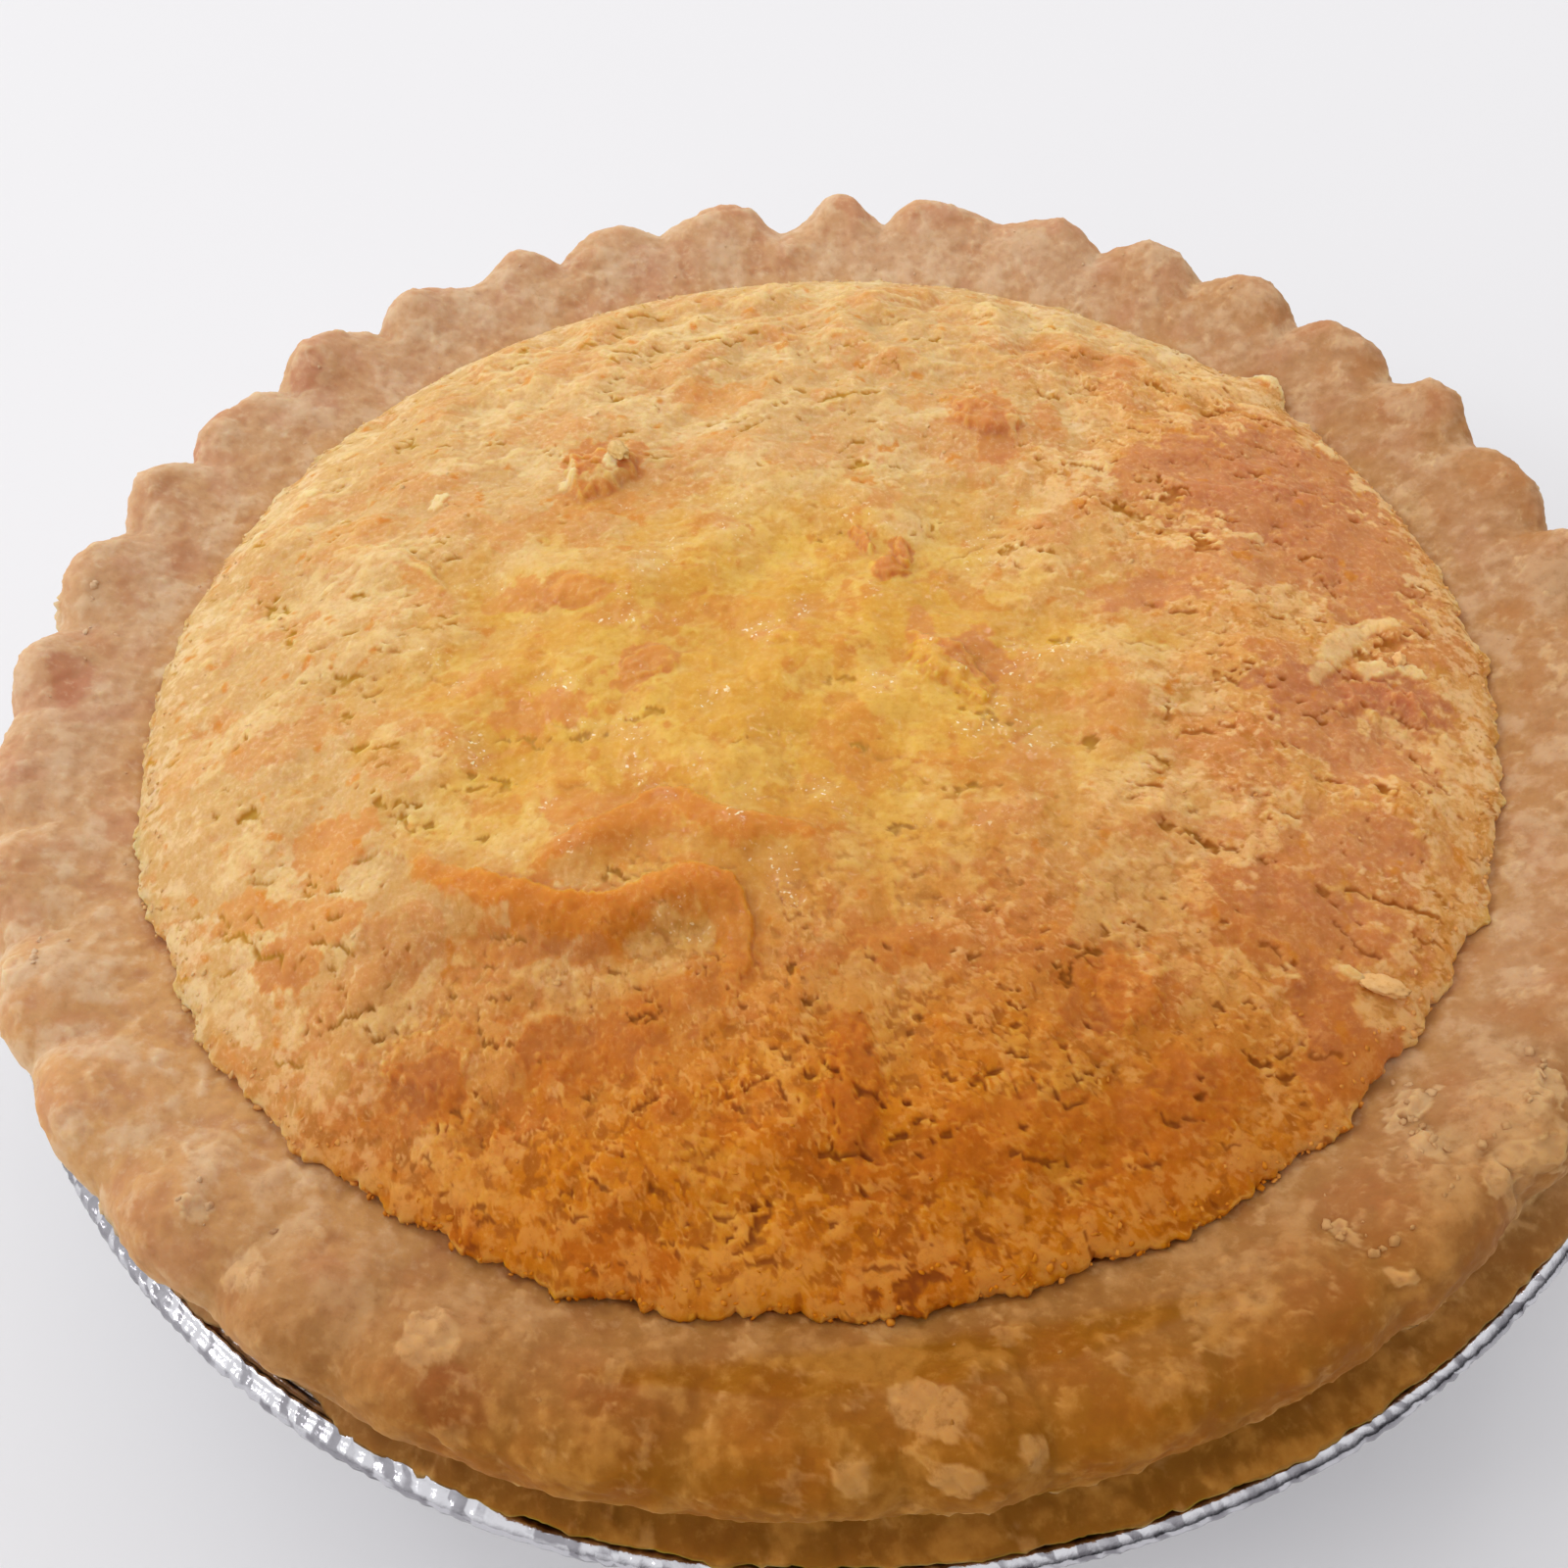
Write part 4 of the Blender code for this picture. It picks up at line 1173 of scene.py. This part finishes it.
def roughenCrust(turn, profile, grid):  # the grid with its relief, the dough's swell, and the masks
    seed = crust["seed"]
    flat = grid.reshape(-1, 3)
    dough = cloud(flat, 5.5, seed, 3)
    lumps = ragged(flat + 0.8 * dough[:, None], 3.4, seed + 20, 0.52)
    small = ragged(flat, 1.3, seed + 26, 0.7)
    rosy = ragged(flat, 5.0, seed + 45, 0.5)
    blotch = cloud(flat, 3.0, seed + 25, 5, 0.62) / 0.16
    steppy = cloud((flat + 1.2 * dough[:, None]) * (1, 1, 1.6), 5.0, seed + 10, 4, 0.6) * 5
    stepped = np.floor(steppy) + smooth(0.7, 1.0, steppy - np.floor(steppy))
    pale, brown, heaped = placeDough(turn, profile, blotch, small)
    pale = np.maximum(pale, 0.5 * smooth(0.9, 1.8, cloud(flat, 2.4, seed + 80, 5, 0.66) / 0.16))
    pale = np.maximum(pale, heaped)
    rough = crust["doughRise"] * dough + crust["lumpRise"] * lumps + crust["flakeRise"] * (stepped - steppy)
    rough += crust["grainRise"] * small + pale * (0.12 + 0.1 * np.clip(small, -1.2, 2)) - 0.05 * brown
    rough += crust["heapRise"] * heaped * (0.7 + 0.35 * np.clip(small, -1.5, 2))
    edge = np.ones(len(profile))
    edge[-1] = 0
    edge[0] = 0.3
    raised = rough.reshape(grid.shape[:2]) * edge[:, None]
    grid = grid + surfaceNormals(grid) * raised[:, :, None]
    outer = np.hypot(grid[:, :, 0], grid[:, :, 1])
    most = form["rimRadius"] - crust["rimSpace"]
    grid[:, :, :2] *= np.minimum(1, most / outer)[:, :, None]
    masks = {
        "cream": smooth(-0.3, 1.7, lumps + 0.3 * small),
        "rosy": smooth(-0.2, 1.8, rosy),
        "crease": smooth(-0.3, -2.0, lumps + 0.3 * small),
        "pale": pale,
        "brown": brown,
    }
    return grid, dough.reshape(grid.shape[:2]), masks


def crustZones(turn, profile, grid, fluting, share, dough):  # the masks that follow the case's shape
    radius = profile[:, 0]
    height = profile[:, 1]
    forward = grid[:, :, 1] - crust["frontTurn"] * grid[:, :, 0]
    inner = smooth(57.5, 54.5, radius)[:, None]  # soaked, browned and painted shade beside the filling
    front = np.maximum(smooth(*crust["frontZone"], forward), inner * smooth(-48, -52.5, forward))
    blush = smooth(0.1, 1.0, fluting) * share * 0.7 + 1.1 * dough
    butter = smooth(56, 50, radius)[:, None] * smooth(34, 32, height)[:, None]
    # painted shade: under the roll and over the ledge, in the flute valleys at the front, and beside the
    # filling's lip, where the case is also soaked and browned
    under = smooth(31.4, 28.8, height)[:, None] * np.ones(len(turn))
    valley = smooth(0.1, -0.9, fluting) * smooth(51, 55, radius)[:, None] * towardsFront(turn)
    besideLip = smooth(54.4, 50.4, radius)[:, None] * (0.1 + 0.7 * front)
    hollow = under * (0.45 + 0.55 * front) + 0.3 * valley * (1 - under) + besideLip
    zones = {
        "front": front,
        "right": smooth(*crust["rightZone"], grid[:, :, 0]),
        "gold": smooth(0, -38, grid[:, :, 1]) * smooth(40, 0, grid[:, :, 0]) * (1 - front),
        "blush": np.clip(blush, 0, 1) * (1 - 0.6 * front),
        "butter": butter * np.ones(len(turn)),
        "hollow": np.clip(hollow, 0, 1),
    }
    return {name: values.ravel() for name, values in zones.items()}


def closeCrust(turn, grid, masks):  # adds the hidden sides: the wall in the tin, the base and the cavity
    steps = len(turn)
    rim = form["rimHeight"]
    flangeRest = form["flangeHeight"] + form["gap"]
    inset = form["gap"] + form["wall"]
    floor = form["foil"] + form["gap"] + form["floor"]
    foot = form["foil"] + form["gap"]
    corner = form["baseCorner"]
    hidden = [
        (form["mouthRadius"] + form["bead"], flangeRest),
        (tinWall(flangeRest - form["bead"]) - form["gap"], flangeRest - form["bead"]),
        (tinWall(foot + corner) - form["gap"], foot + corner),
        (tinWall(foot + corner) - corner - form["gap"], foot),
    ]
    cavity = [
        (tinWall(floor) - inset, floor),
        (tinWall(rim) - inset, rim),
    ]
    rings = [ringPoints(reach, turn, level) for reach, level in cavity]
    rings.append(grid.reshape(-1, 3))
    rings += [ringPoints(reach, turn, level) for reach, level in hidden]
    points = np.vstack(rings + [np.array([[0, 0, floor], [0, 0, foot]])])
    total = len(cavity) + len(grid) + len(hidden)
    faces = ringFaces(total, steps)
    faces += fanFaces(np.arange(steps), len(points) - 2, False)
    faces += fanFaces(np.arange((total - 1) * steps, total * steps), len(points) - 1, True)
    before = np.zeros(len(cavity) * steps)
    after = np.zeros(len(hidden) * steps + 2)
    masks = {name: np.concatenate((before, values, after)) for name, values in masks.items()}
    return points, faces, masks


def shapeCrust(finish):
    turn = np.arange(crust["steps"]) * 2 * math.pi / crust["steps"]
    profile, grid, fluting, share = rollCrust(turn)
    grid, dough, masks = roughenCrust(turn, profile, grid)
    masks.update(crustZones(turn, profile, grid, fluting, share, dough))
    points, faces, masks = closeCrust(turn, grid, masks)
    makePiece("pastryCase", points, faces, finish, "crust", masks)
    return grid, surfaceNormals(grid)


tin = {
    "crimps": 320,
    "crimpSteps": (0.0, 0.15, 0.5, 0.65),  # where the mesh bends in each crimp
    "beadSteps": 14,
    "crimpDepth": 0.17,
    "crimpSlant": 0.8,
    "ridge": 0.45,  # inside the bead, where the pastry leaves the foil bare
    "pleats": 120,
    "pleatDepth": 0.2,
    "bareFoil": (-126.5, -125, -122, -120.5),  # degrees, where the ridge shows
    "strip": (-144, -139, -112, -107),  # and where the strip beside the bead does
    "stripLift": 0.84,
    "flange": [  # radius and kind of each ring between the ledge and the bead
        (60.1, "plain"), (60.45, "ridge"), (60.7, "ridge"), (60.82, "plain"),
        (60.95, "stripEdge"), (61.0, "strip"), (61.15, "strip"), (61.28, "strip"),
    ],
    "seed": 500,
}


def foilFinish():
    constants = {"Metallic": 1.0}
    material, start, shader = startFinish("tinFoil", constants)
    place = start.node("ShaderNodeTexCoord", out="Object")
    cloudy = start.grain(place, 4.0, 4.0, 0.6)
    fine = start.grain(place, 0.6, 3.0, 0.6)
    colour = start.colour(tint(204, 203, 208))
    # painted dark reflections on some of the crimps' facets
    darkReflection = (start.mask("facet") + 0.3 * (fine - 0.5)).between(0.35, 0.8)
    colour = colour.blend(darkReflection * 0.9, tint(134, 131, 137))
    colour = colour.blend(cloudy.between(0.4, 0.7) * 0.3, tint(196, 196, 202))
    # darker brown in the groove beside the bead
    colour = colour.blend(start.mask("grease") * 0.85, tint(120, 96, 66))
    feed(shader, "Base Color", colour)
    feed(shader, "Roughness", (0.08 + 0.2 * cloudy).clamped())
    bumps = {"Height": fine, "Strength": 0.4, "Distance": 0.12 * mm}
    feed(shader, "Normal", start.node("ShaderNodeBump", {}, bumps))
    return material


def onArc(middle, level, radius, degrees):
    a = math.radians(degrees)
    return middle + radius * math.cos(a), level + radius * math.sin(a)


def tinProfile():  # radius, height and kind of each ring, from the inside of the base round to its outside
    foil = form["foil"]
    bead = form["bead"]
    mouth = form["mouthRadius"]
    corner = form["baseCorner"]
    rim = form["rimHeight"]
    flange = form["flangeHeight"]
    cornerLevel = foil + corner
    cornerMiddle = tinWall(cornerLevel) - corner
    rings = []
    for degrees in (-90, -65, -40, -10):
        rings.append((*onArc(cornerMiddle, cornerLevel, corner, degrees), "plain"))
    for level in np.linspace(6, flange - bead, 5):
        rings.append((tinWall(level), level, "plain"))
    rings.append((mouth + bead, flange, "plain"))
    for reach, kind in tin["flange"]:
        rings.append((reach, flange, kind))
    for degrees in np.linspace(185, -120, tin["beadSteps"]):
        rings.append((*onArc(form["rimRadius"] - bead, rim, bead, degrees), "bead"))
    rings.append((mouth + bead + foil, flange - foil, "plain"))
    for level in np.linspace(flange - foil - bead, cornerLevel + 1, 12):
        rings.append((tinWall(level) + foil, level, "wall"))
    for degrees in (-10, -40, -65, -90):
        rings.append((*onArc(cornerMiddle, cornerLevel, corner + foil, degrees), "plain"))
    return rings


def pressTin(finish):
    bends = tin["crimpSteps"]
    steps = tin["crimps"] * len(bends)
    turn = np.add.outer(np.arange(tin["crimps"]), bends).ravel() * 2 * math.pi / tin["crimps"]
    bead = form["bead"]
    beadMiddle = form["rimRadius"] - bead
    profile = tinProfile()

    seed = tin["seed"]
    draw = np.random.RandomState(seed)
    own = draw.uniform(0, 1, (tin["crimps"] * 2, 4))  # a number for each side of each crimp
    strength = 0.75 + 0.9 * waves(polar(turn, 20.0), seed + 3)
    pleatPhase = turn * tin["pleats"] + 3.0 * waves(polar(turn, 7.0), seed + 6)
    pleat = np.sin(pleatPhase)
    dents = cloud(polar(turn, 62.0), 5.0, seed + 9, 3)
    bearing = np.degrees(turn) - 360
    start, full, fullEnd, end = tin["bareFoil"]
    bare = smooth(start, full, bearing) * smooth(end, fullEnd, bearing)
    start, full, fullEnd, end = tin["strip"]
    strip = smooth(start, full, bearing) * smooth(end, fullEnd, bearing)
    stripLift = tin["stripLift"]
    rings = []
    grease = []
    # each facet's share of the painted dark reflection
    reflectionTones = []
    for reach, level, kind in profile:
        shift = np.zeros(steps)
        lift = np.zeros(steps)
        grooveRing = np.zeros(steps)
        tone = np.zeros(steps)
        wrap = 0.0
        if kind == "bead":
            outward = np.array((reach - beadMiddle, level - form["rimHeight"])) / bead
            wrap = math.atan2(outward[1], outward[0]) / math.pi
        slant = tin["crimpSlant"] * wrap + 0.5 * waves(polar(turn, 9.0) + wrap, seed)
        phase = turn * tin["crimps"] / (2 * math.pi) + slant
        side = np.floor(2 * phase).astype(int) % (2 * tin["crimps"])
        fold = np.abs(2 * (phase - np.floor(phase)) - 1)  # 1 at a crease, 0 on a ridge
        depth = np.clip(strength * (0.55 + 0.7 * own[side, 0]), 0.15, 1.25) * tin["crimpDepth"]
        if kind == "bead":
            squeeze = np.clip(depth * fold + 0.06 * dents + 0.05, 0, 0.42)
            shift = -outward[0] * squeeze
            lift = -outward[1] * squeeze
            tone = own[side, 1 + int(2.99 * (wrap + 1) / 2)]
            lift = lift + strip * stripLift * smooth(0.1, -1.0, outward[0]) ** 2 * (outward[1] > 0)
            lift = lift + strip * stripLift * (outward[1] <= 0) * (outward[0] < -0.9)
        if kind == "ridge":
            lift = tin["ridge"] * (0.7 + 0.5 * dents + 0.5 * (own[side, 3] - 0.5)) * bare
            tone = own[side, 2]
        if kind == "wall":
            calm = smooth(0, 5, form["flangeHeight"] - level) * smooth(3.5, 8, level)
            shift = tin["pleatDepth"] * (pleat * (0.5 + 0.5 * strength) + 0.5 * dents) * calm
        if kind == "strip":
            lift = strip * (stripLift - 1.3 * depth * fold)
            tone = own[side, 1]
        if kind == "stripEdge":
            lift = strip * (0.3 + 0.5 * (1 - bare))
        # brownish dark on the flange rings in the groove beside the bead
        if kind in ("plain", "stripEdge") and 60.8 < reach < 61.3:
            grooveRing += 0.8
        rings.append(ringPoints(reach + shift, turn, level + lift))
        grease.append(grooveRing)
        reflectionTones.append(tone)
    points = np.vstack(rings + [np.array([[0, 0, form["foil"]], [0, 0, 0.0]])])
    faces = ringFaces(len(profile), steps)
    faces += fanFaces(np.arange(steps), len(points) - 2, False)
    faces += fanFaces(np.arange((len(profile) - 1) * steps, len(profile) * steps), len(points) - 1, True)
    masks = {"grease": np.concatenate((np.array(grease).ravel(), [0.0, 0.0])),
             "facet": np.concatenate((np.array(reflectionTones).ravel(), [0.0, 0.0]))}
    makePiece("foilTin", points, faces, finish, "foil_tin", masks)


loose = {
    "lipCrumbs": 900,
    "lipBand": 2.2,  # how far in from the lip they lie
    "topCrumbs": 500,
    "crumbSizes": (0.1, 0.26),
    "scattered": 45,  # pastry crumbs on the case
    "pastrySizes": (0.08, 0.2),
    "topReach": 46.0,  # the scattered ones lie nearer the middle than this
    "seed": 900,
}

clumps = [  # angle, radius, spread along and across, and how many pastry crumbs lie there
    (-47.6, 52.3, 3.0, 1.6, 8),
    (-49.4, 54.2, 2.4, 1.6, 6),
    (-48.2, 58.6, 3.2, 1.5, 8),
    (-42.4, 57.4, 3.0, 1.8, 7),
    (-57.2, 58.9, 1.8, 1.2, 6),
    (-57.5, 54.9, 1.2, 1.8, 6),
    (172.5, 60.0, 1.8, 0.8, 6),
    (-152.8, 58.4, 1.8, 1.0, 5),
    (-130.0, 56.6, 1.6, 1.2, 4),
]

flakes = [  # x, y, lift, half sizes, turn, tilt, then how browned and how pale each raised flake is
    (-14.2, 15.9, 0.4, (0.7, 1.2, 0.5), 25, 0, 0.4, 0.6),
    (42.4, -5.3, 0.1, (0.45, 0.8, 0.4), -10, 0, 0.0, 1.0),
    (35.2, -31.2, 0.4, (1.6, 0.7, 0.35), -12, 12, 0.0, 1.0),
]


def spins(draw, count):  # random turns, as matrices
    turned = np.linalg.qr(draw.normal(size=(count, 3, 3)))[0]
    return turned * np.sign(np.linalg.det(turned))[:, None, None]


def lumpShapes(centres, sizes, turns, level, seed, swelling):  # points, faces and points in each lump
    ball = bmesh.new()
    bmesh.ops.create_icosphere(ball, subdivisions=level, radius=1.0)
    corners = np.array([corner.co[:] for corner in ball.verts])
    sides = np.array([[corner.index for corner in face.verts] for face in ball.faces])
    ball.free()
    draw = np.random.RandomState(seed)
    count = len(centres)
    shifts = draw.uniform(-40, 40, (count, 1, 3))
    sampled = (corners[None] * 1.3 + shifts).reshape(-1, 3)
    swell = 1 + swelling * cloud(sampled, 1.0, seed, level, 0.6).reshape(count, -1, 1)
    shaped = np.einsum("nij,nkj->nki", turns, corners[None] * swell * sizes[:, None])
    points = (centres[:, None] + shaped).reshape(-1, 3)
    faces = (sides[None] + np.arange(count)[:, None, None] * len(corners)).reshape(-1, 3)
    points[:, 2] = np.minimum(points[:, 2], form["top"] - 0.02)
    return points, faces.tolist(), len(corners)


def onCustard(x, y):  # points on the baked top and the masks there
    height, masks = custardRelief(x, y)
    return np.column_stack((x + leanAt(height), y, np.minimum(height, form["top"] - 0.5))), masks


def strewCrumbs(finish):
    draw = np.random.RandomState(loose["seed"])
    angle = np.arange(loose["lipCrumbs"]) * goldenAngle
    inset = loose["lipBand"] * draw.uniform(0, 1, len(angle)) ** 1.8 - 0.15
    reach = lipReach(angle) - inset
    spread = loose["topReach"] * np.sqrt((np.arange(loose["topCrumbs"]) + 0.5) / loose["topCrumbs"])
    reach = np.concatenate((reach, spread))
    angle = np.concatenate((angle, np.arange(loose["topCrumbs"]) * goldenAngle + 1.0))
    stray = draw.normal(0, 0.5, (len(angle), 2)) * (reach < loose["topReach"])[:, None]
    x = reach * np.cos(angle) + stray[:, 0]
    y = reach * np.sin(angle) + stray[:, 1]
    places, masks = onCustard(x, y)
    gathered = ragged(np.column_stack((x, y)), 3.0, loose["seed"] + 4)
    keep = (masks["moist"] < 0.6) & (masks["hole"] < 0.3) & (masks["brown"] < 0.7)
    keep &= ((reach > loose["topReach"]) & (gathered > -0.5)) | (masks["crumb"] > 0.25)
    bulks = draw.uniform(*loose["crumbSizes"], (len(x), 1)) * draw.uniform(0.4, 1.4, (len(x), 3))
    turns = spins(draw, len(x))
    own = draw.uniform(0.1, 1.0, len(x))
    drop = 0.3 * smooth(0.975, 1.0, reach / lipReach(angle)) ** 2 + 0.4 * (reach > lipReach(angle))
    places[:, 2] -= drop + 0.35 * bulks.mean(axis=1)
    own = own[keep]
    masks = {name: values[keep] for name, values in masks.items()}
    points, faces, each = lumpShapes(places[keep], bulks[keep], turns[keep], 1, loose["seed"], 0.9)
    masks["crumb"] = 0.55 * own
    masks["cream"] = 0.6 * own
    for name in ("deep", "hole", "brown", "strand", "peach", "fold", "shred"):
        masks[name] = masks[name] * 0
    masks = {name: np.repeat(values, each) for name, values in masks.items()}
    makePiece("custardCrumbs", points, faces, finish, None, masks)


def raiseFlakes(finish):
    x, y, lift = (np.array([flake[column] for flake in flakes]) for column in range(3))
    centres, _ = onCustard(x, y)
    centres[:, 2] += lift
    centres[:, 2] = np.maximum(centres[:, 2], form["lipHeight"] + lift)
    turns = []
    for flake in flakes:
        turn = Matrix.Rotation(math.radians(flake[4]), 3, "Z")
        turns.append(np.array(turn @ Matrix.Rotation(math.radians(flake[5]), 3, "Y")))
    bulks = np.array([flake[3] for flake in flakes])
    points, faces, each = lumpShapes(centres, bulks, np.array(turns), 4, loose["seed"] + 60, 0.7)
    brown, pale = (np.repeat([flake[column] for flake in flakes], each) for column in (6, 7))
    speckled = ragged(points, 1.6, loose["seed"] + 70)
    masks = {
        "brown": np.clip(brown + 0.12 * speckled - 0.5 * pale, 0, 1),
        "crumb": np.clip(pale, 0.2, 1) * smooth(-0.3, 0.6, speckled),
        "cream": pale,
        "peach": smooth(0.0, 1.0, speckled),
        "right": np.repeat(smooth(*custard["rightZone"], x), each),
        "moist": np.repeat(smooth(28, 12, np.hypot(x, y)), each),
    }
    for name in ("deep", "hole", "strand", "fold", "shred", "front"):
        masks[name] = np.zeros(len(points))
    makePiece("custardFlakes", points, faces, finish, None, masks)


def strewPastry(finish, grid, normals):
    draw = np.random.RandomState(loose["seed"] + 30)
    angles = [draw.uniform(-180, 180, loose["scattered"])]
    reaches = [draw.uniform(50.5, 59.0, loose["scattered"])]
    kinds = [np.zeros(loose["scattered"])]
    for angle, reach, along, across, count in clumps:
        angles.append(angle + np.degrees(draw.normal(0, along * 0.6, count) / reach))
        reaches.append(np.clip(reach + draw.normal(0, across * 0.6, count), 50.5, 60.0))
        kinds.append(np.ones(count))
    angle = np.concatenate(angles)
    reach = np.concatenate(reaches)
    kind = np.concatenate(kinds)
    column = np.round((angle % 360) / 360 * crust["steps"]).astype(int) % crust["steps"]
    upper = grid[:crust["visibleRings"] // 2]
    away = np.hypot(upper[:, column, 0] - form["lean"], upper[:, column, 1])
    ring = np.abs(away - reach).argmin(axis=0)
    outward = normals[ring, column]
    bulks = draw.uniform(*loose["pastrySizes"], (len(angle), 1))
    bulks = bulks * (1 + 0.6 * kind)[:, None] * draw.uniform(0.35, 1.4, (len(angle), 3))
    places = upper[ring, column] - outward * bulks.mean(axis=1)[:, None] * 0.1
    turns = spins(draw, len(angle))
    points, faces, each = lumpShapes(places, bulks, turns, 2, loose["seed"] + 31, 0.9)
    front = smooth(*crust["frontZone"], places[:, 1] - crust["frontTurn"] * places[:, 0])
    masks = {
        "front": front,
        "right": smooth(*crust["rightZone"], places[:, 0]),
        "pale": 0.4 + 0.6 * kind * draw.uniform(0.3, 1, len(angle)),
        "cream": draw.uniform(0, 0.7, len(angle)),
        "rosy": draw.uniform(0, 0.6, len(angle)),
    }
    for name in ("gold", "blush", "butter", "crease", "hollow", "brown"):
        masks[name] = front * 0
    masks = {name: np.repeat(values, each) for name, values in masks.items()}
    makePiece("pastryCrumbs", points, faces, finish, None, masks)


room = {
    "floorSize": 6.0,
    "floorColour": (238, 237, 239),
    "brightest": (-0.56, 0.38, 0.73),  # where the soft light mostly comes from
    "sky": [(0.18, (70, 70, 72)), (0.42, (172, 170, 172)), (0.85, (255, 255, 255))],
    "skyStrength": 1.08,
    "lamps": [  # place, size and power
        ((-0.45, 0.5, 0.8), 0.5, 0.5),
        ((-0.5, 0.25, 0.85), 0.1, 0.25),
        ((0.35, 0.55, 0.75), 0.1, 0.2),
        ((-0.7, -0.25, 0.6), 0.15, 0.6),
    ],
}

shot = {  # fitted to the rims of the tin, the case and the filling in the photograph
    "place": (0.0, -81.83, 120.44),
    "turn": 2.735,
    "tilt": 38.827,
    "roll": -4.394,
    "lens": 36.0,
    "sensor": 36.0,
    "clipStart": 0.005,
}


def setRoom():
    bpy.ops.mesh.primitive_plane_add(size=room["floorSize"])
    floor = bpy.context.object
    floor.name = "tableTop"
    material, start, shader = startFinish("tableTop", {"Specular IOR Level": 0.2})
    place = start.node("ShaderNodeTexCoord", out="Object")
    soft = start.grain(place, 60.0, 2.0, 0.5)
    colour = start.colour(tint(*room["floorColour"]))
    feed(shader, "Base Color", colour.blend(soft * 0.06, tint(222, 220, 226)))
    feed(shader, "Roughness", 0.5 + 0.1 * soft)
    floor.data.materials.append(material)

    world = bpy.data.worlds.new("room")
    world.use_nodes = True
    bpy.context.scene.world = world
    sky = Wire(world.node_tree)
    direction = sky.node("ShaderNodeTexCoord", out="Generated")
    towards = {0: direction, 1: room["brightest"]}
    facing = sky.node("ShaderNodeVectorMath", {"operation": "DOT_PRODUCT"}, towards, out="Value")
    stops = [(position, tint(*shade)) for position, shade in room["sky"]]
    shade = sky.node("ShaderNodeValToRGB", {"stops": stops}, {0: facing.between(-1.0, 1.0)})
    background = world.node_tree.nodes["Background"]
    world.node_tree.links.new(shade.socket, background.inputs["Color"])
    background.inputs["Strength"].default_value = room["skyStrength"]

    for order, (place, size, power) in enumerate(room["lamps"]):
        light = bpy.data.lights.new("lamp%d" % order, "AREA")
        light.shape = "DISK"
        light.size = size
        light.energy = power
        lamp = bpy.data.objects.new("lamp%d" % order, light)
        lamp.location = place
        lamp.rotation_euler = (-Vector(place)).to_track_quat("-Z", "Y").to_euler()
        bpy.context.scene.collection.objects.link(lamp)
    bpy.context.scene.view_settings.view_transform = "Standard"


def aimCamera():
    data = bpy.data.cameras.new("camera")
    data.lens = shot["lens"]
    data.sensor_width = shot["sensor"]
    data.clip_start = shot["clipStart"]
    camera = bpy.data.objects.new("camera", data)
    turn = Matrix.Rotation(math.radians(shot["turn"]), 4, "Z")
    tilt = Matrix.Rotation(math.radians(shot["tilt"]), 4, "X")
    roll = Matrix.Rotation(math.radians(shot["roll"]), 4, "Z")
    camera.matrix_world = Matrix.Translation(Vector(shot["place"]) * mm) @ turn @ tilt @ roll
    bpy.context.scene.collection.objects.link(camera)
    bpy.context.scene.camera = camera


pressTin(foilFinish())
grid, normals = shapeCrust(crustFinish("bakedPastry", 0.5))
strewPastry(crustFinish("pastryCrumbs", 0.0), grid, normals)
bakeCustard(custardFinish("bakedCustard", 0.75))
crumbFinish = custardFinish("custardCrumbs", 0.0)
strewCrumbs(crumbFinish)
raiseFlakes(crumbFinish)
setRoom()
aimCamera()
